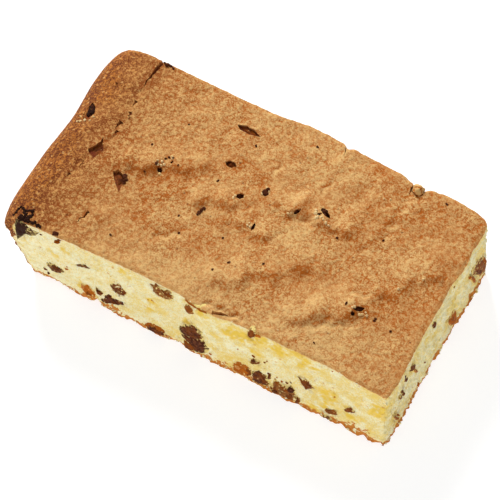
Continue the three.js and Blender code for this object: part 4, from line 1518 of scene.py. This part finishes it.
def raisin_material(colours):
    """Dark, slightly sticky dried fruit, amber where its stored tone says so, with flecks of dusty bloom and
    painted sheen, and crumb on it.
    """
    nodes = new_material("cake_raisin")
    patch = nodes.noise(420.0, 4.0, 0.65)
    tone = nodes.stored("amber")
    mottled = nodes.weigh((patch, 1.1), (nodes.noise(190.0), 0.5), (1.0, -0.76))
    amber = nodes.maths("ADD", tone, mottled)
    colour = nodes.mix(nodes.remap(amber, 0.0, 1.0), colours.raisin, colours.amber)
    colour = nodes.mix(nodes.remap(amber, 1.0, 2.0), colour, colours.crust_light)
    fleck = nodes.noise(700.0, 4.0, 0.65)
    # Flecks of dusty bloom and painted sheen on the fruit of middling tone.
    middling = nodes.times(nodes.remap(tone, 0.45, 0.2), nodes.remap(tone, -0.25, -0.05))
    bloom_and_sheen_flecks = nodes.times(middling, nodes.remap(fleck, 0.46, 0.62, 0.0, 0.4))
    colour = nodes.mix(bloom_and_sheen_flecks, colour, colours.bloom_and_sheen)
    colour = nodes.mix(nodes.remap(tone, -0.1, -0.3, 0.0, 0.85), colour, colours.burnt)
    crumbed = nodes.stored("crumbed")
    haze = nodes.remap(nodes.noise(300.0, 3.0, 0.6), 0.46, 0.62, 0.0, 0.5)
    colour = nodes.mix(nodes.times(haze, nodes.times(crumbed, crumbed)), colour, colours.crumb_deep)
    scattered = nodes.remap(nodes.weigh((fleck, 1.0), (crumbed, 0.2)), 0.68, 0.73)
    feathered = nodes.remap(nodes.weigh((fleck, 1.3), (nodes.stored("fruit_rim"), 1.0)), 1.42, 1.6)
    crumbs = nodes.maths("MAXIMUM", scattered, feathered)
    unburnt = nodes.remap(tone, -0.3, -0.1, 0.1, 1.0)
    colour = nodes.mix(nodes.times(crumbs, unburnt), colour, colours.crumb_deep)
    finish = {"Roughness": nodes.remap(patch, 0.3, 0.7, 0.55, 0.8), "Specular IOR Level": 0.04}
    finish_material(nodes, colour, patch, RAISIN_BUMP, finish)


# Stage

def make_floor():
    """A wide plain floor under the slab, bright enough that its shadow stays faint."""
    select_only()
    bpy.ops.mesh.primitive_plane_add(size=FLOOR_SIZE)
    floor = bpy.context.object
    floor.name = "floor"
    nodes = new_material("floor")
    nodes.give(nodes.tree.nodes["Principled BSDF"], FLOOR_FINISH)
    floor.data.materials.append(material_named("floor"))


def make_area_light(name, place, size, power):
    """A soft square light aimed at the slab."""
    bpy.ops.object.light_add(type="AREA", location=place)
    light = bpy.context.object
    light.name = name
    light.data.size = size
    light.data.energy = power
    light.rotation_euler = (-Vector(place)).to_track_quat("-Z", "Y").to_euler()


def make_lights(stage):
    """A pale sky all round, a main light from the back left and a weak one in front."""
    world = bpy.data.worlds.new("pale_sky")
    world.use_nodes = True
    background = world.node_tree.nodes["Background"]
    background.inputs["Color"].default_value = (1.0, 1.0, 1.0, 1.0)
    background.inputs["Strength"].default_value = stage.sky
    bpy.context.scene.world = world
    make_area_light("key_light", *KEY_LIGHT, stage.key)
    make_area_light("fill_light", *FILL_LIGHT, stage.fill)


def make_camera(stage):
    """The camera at the photograph's angle, a little off centre as the photograph is."""
    right = Vector((math.cos(stage.azimuth), math.sin(stage.azimuth), 0))
    level = math.cos(stage.elevation)
    back = Vector((
        math.sin(stage.azimuth) * level,
        -math.cos(stage.azimuth) * level,
        math.sin(stage.elevation),
    ))
    turn = Matrix((right, back.cross(right), back)).transposed().to_4x4()
    bpy.ops.object.camera_add()
    camera = bpy.context.object
    camera.name = "camera"
    camera.matrix_world = Matrix.Translation(Vector(TARGET) * MM + back * stage.distance) @ turn
    camera.data.lens = stage.lens
    camera.data.sensor_width = SENSOR
    camera.data.shift_x, camera.data.shift_y = SHIFT
    bpy.context.scene.camera = camera


# Operators

class CAKE_OT_materials(Operator):
    """Make the materials of the sponge, the crumbs and the raisins."""

    bl_idname = "cake.materials"
    bl_label = "Materials"

    def execute(self, context):
        colours = context.scene.cake_colours
        crumb = crumb_group()
        skin = skin_group()
        crust_material(colours, skin)
        sponge_material(colours, skin, crumb)
        crumb_material(colours, crumb)
        raisin_material(colours)
        return {"FINISHED"}


class CAKE_OT_sponge(Operator):
    """Model the sponge and its crust: a slab with folds, cracks, torn sides and holes over raisins."""

    bl_idname = "cake.sponge"
    bl_label = "Sponge"

    def execute(self, context):
        slab = sizes_in_mm(context.scene)
        sponge = blank_slab(slab)
        share = points_of(sponge)
        points = slab_points(slab, share)
        tear_sides(slab, share, points)
        raise_crust(slab, share, points)
        set_points(sponge, points)
        nodes = raisin_nodes()
        pockets = [node for node in nodes if "_top_" in node and node not in HOLES]
        cut_away(sponge, pocket_cutters(slab, pockets))
        cut_away(sponge, hole_cutters(slab))
        cut_away(sponge, crack_cutters(slab))
        for piece in part_crust(sponge):
            mark_crust(piece, slab)
            mark_crumb(piece, slab, nodes)
            finish_piece(piece, piece.name, ["sponge"])
        return {"FINISHED"}


class CAKE_OT_raisins(Operator):
    """Model the raisins of each side, each where its CAD solid is."""

    bl_idname = "cake.raisins"
    bl_label = "Raisins"

    def execute(self, context):
        slab = sizes_in_mm(context.scene)
        for side in SIDES:
            piece, nodes = make_raisins(slab, side)
            finish_piece(piece, "cake_raisin", nodes)
        return {"FINISHED"}


class CAKE_OT_specks(Operator):
    """Lay small bare specks of fruit and the burnt fruit skin on the crust and in the cut sides."""

    bl_idname = "cake.specks"
    bl_label = "Fruit specks"

    def execute(self, context):
        slab = sizes_in_mm(context.scene)
        bare = np.array(CRUST_SPECKS)
        burnt, thickness = lumps_along(BURNT_SKIN, np.random.default_rng(BURNT_SEED))
        face_places, face_radii, face_tones = face_specks(slab)
        places = np.concatenate([on_crust(slab, *np.concatenate([bare[:, :2], burnt]).T), face_places])
        radii = np.concatenate([bare[:, 2] / 2, thickness, face_radii])
        specks = joined_lumps("fruit_specks", places, radii, SPECK_FLATTEN, SPECK_SEED)
        tones = np.concatenate([[SPECK_TONE] * len(bare), [BURNT_TONE] * len(burnt), face_tones])
        store(specks, "amber", np.repeat(tones, len(specks.data.vertices) // len(tones)))
        finish_piece(specks, "cake_raisin")
        return {"FINISHED"}


class CAKE_OT_crumbs(Operator):
    """Scatter crumbs along the cut edges and the base, and lay torn crumb on the crust."""

    bl_idname = "cake.crumbs"
    bl_label = "Crumbs"

    def execute(self, context):
        settings = context.scene.cake_crumbs
        slab = sizes_in_mm(context.scene)
        edge_places, edge_radii = edge_crumbs(settings, slab, np.random.default_rng(settings.seed))
        x, y, sizes = np.array(PALE_BITS).T
        places = np.concatenate([edge_places, on_crust(slab, x, y)])
        radii = np.concatenate([edge_radii, CRUMB_SHARE * sizes])
        places[:, 2] = np.maximum(places[:, 2], radii * 1.4)
        crumbs = joined_lumps("loose_crumbs", places, radii, CRUMB_FLATTEN, settings.seed)
        baked = np.concatenate([np.zeros(len(edge_radii)), np.full(len(sizes), BAKED)])
        store(crumbs, "baked", np.repeat(baked, len(crumbs.data.vertices) // len(baked)))
        finish_piece(crumbs, "cake_crumbs")
        return {"FINISHED"}


class CAKE_OT_stage(Operator):
    """Set the pale floor, the soft light and the camera."""

    bl_idname = "cake.stage"
    bl_label = "Stage"

    def execute(self, context):
        stage = context.scene.cake_stage
        make_floor()
        make_lights(stage)
        make_camera(stage)
        context.scene.view_settings.view_transform = "Standard"
        return {"FINISHED"}


OPERATORS = (
    CAKE_OT_materials,
    CAKE_OT_sponge,
    CAKE_OT_raisins,
    CAKE_OT_specks,
    CAKE_OT_crumbs,
    CAKE_OT_stage,
)

GROUPS = {
    "cake_slab": SlabSizes,
    "cake_colours": CakeColours,
    "cake_crumbs": CrumbSettings,
    "cake_stage": StageSettings,
}


class CAKE_PT_sidebar(Panel):
    """Sidebar list of the cake's pieces and settings."""

    bl_idname = "CAKE_PT_sidebar"
    bl_label = "Farmhouse Cake"
    bl_space_type = "VIEW_3D"
    bl_region_type = "UI"
    bl_category = "Cake"

    def draw(self, context):
        for operator in OPERATORS:
            self.layout.operator(operator.bl_idname)
        for name, group in GROUPS.items():
            for setting in group.__annotations__:
                self.layout.prop(getattr(context.scene, name), setting)


def register():
    for name, group in GROUPS.items():
        bpy.utils.register_class(group)
        setattr(bpy.types.Scene, name, PointerProperty(type=group))
    for operator in OPERATORS:
        bpy.utils.register_class(operator)
    bpy.utils.register_class(CAKE_PT_sidebar)


def unregister():
    bpy.utils.unregister_class(CAKE_PT_sidebar)
    for operator in reversed(OPERATORS):
        bpy.utils.unregister_class(operator)
    for name, group in GROUPS.items():
        delattr(bpy.types.Scene, name)
        bpy.utils.unregister_class(group)


def main():
    """Build every piece in order."""
    register()
    bpy.ops.cake.materials()
    bpy.ops.cake.sponge()
    bpy.ops.cake.raisins()
    bpy.ops.cake.specks()
    bpy.ops.cake.crumbs()
    bpy.ops.cake.stage()


if __name__ == "__main__":
    main()
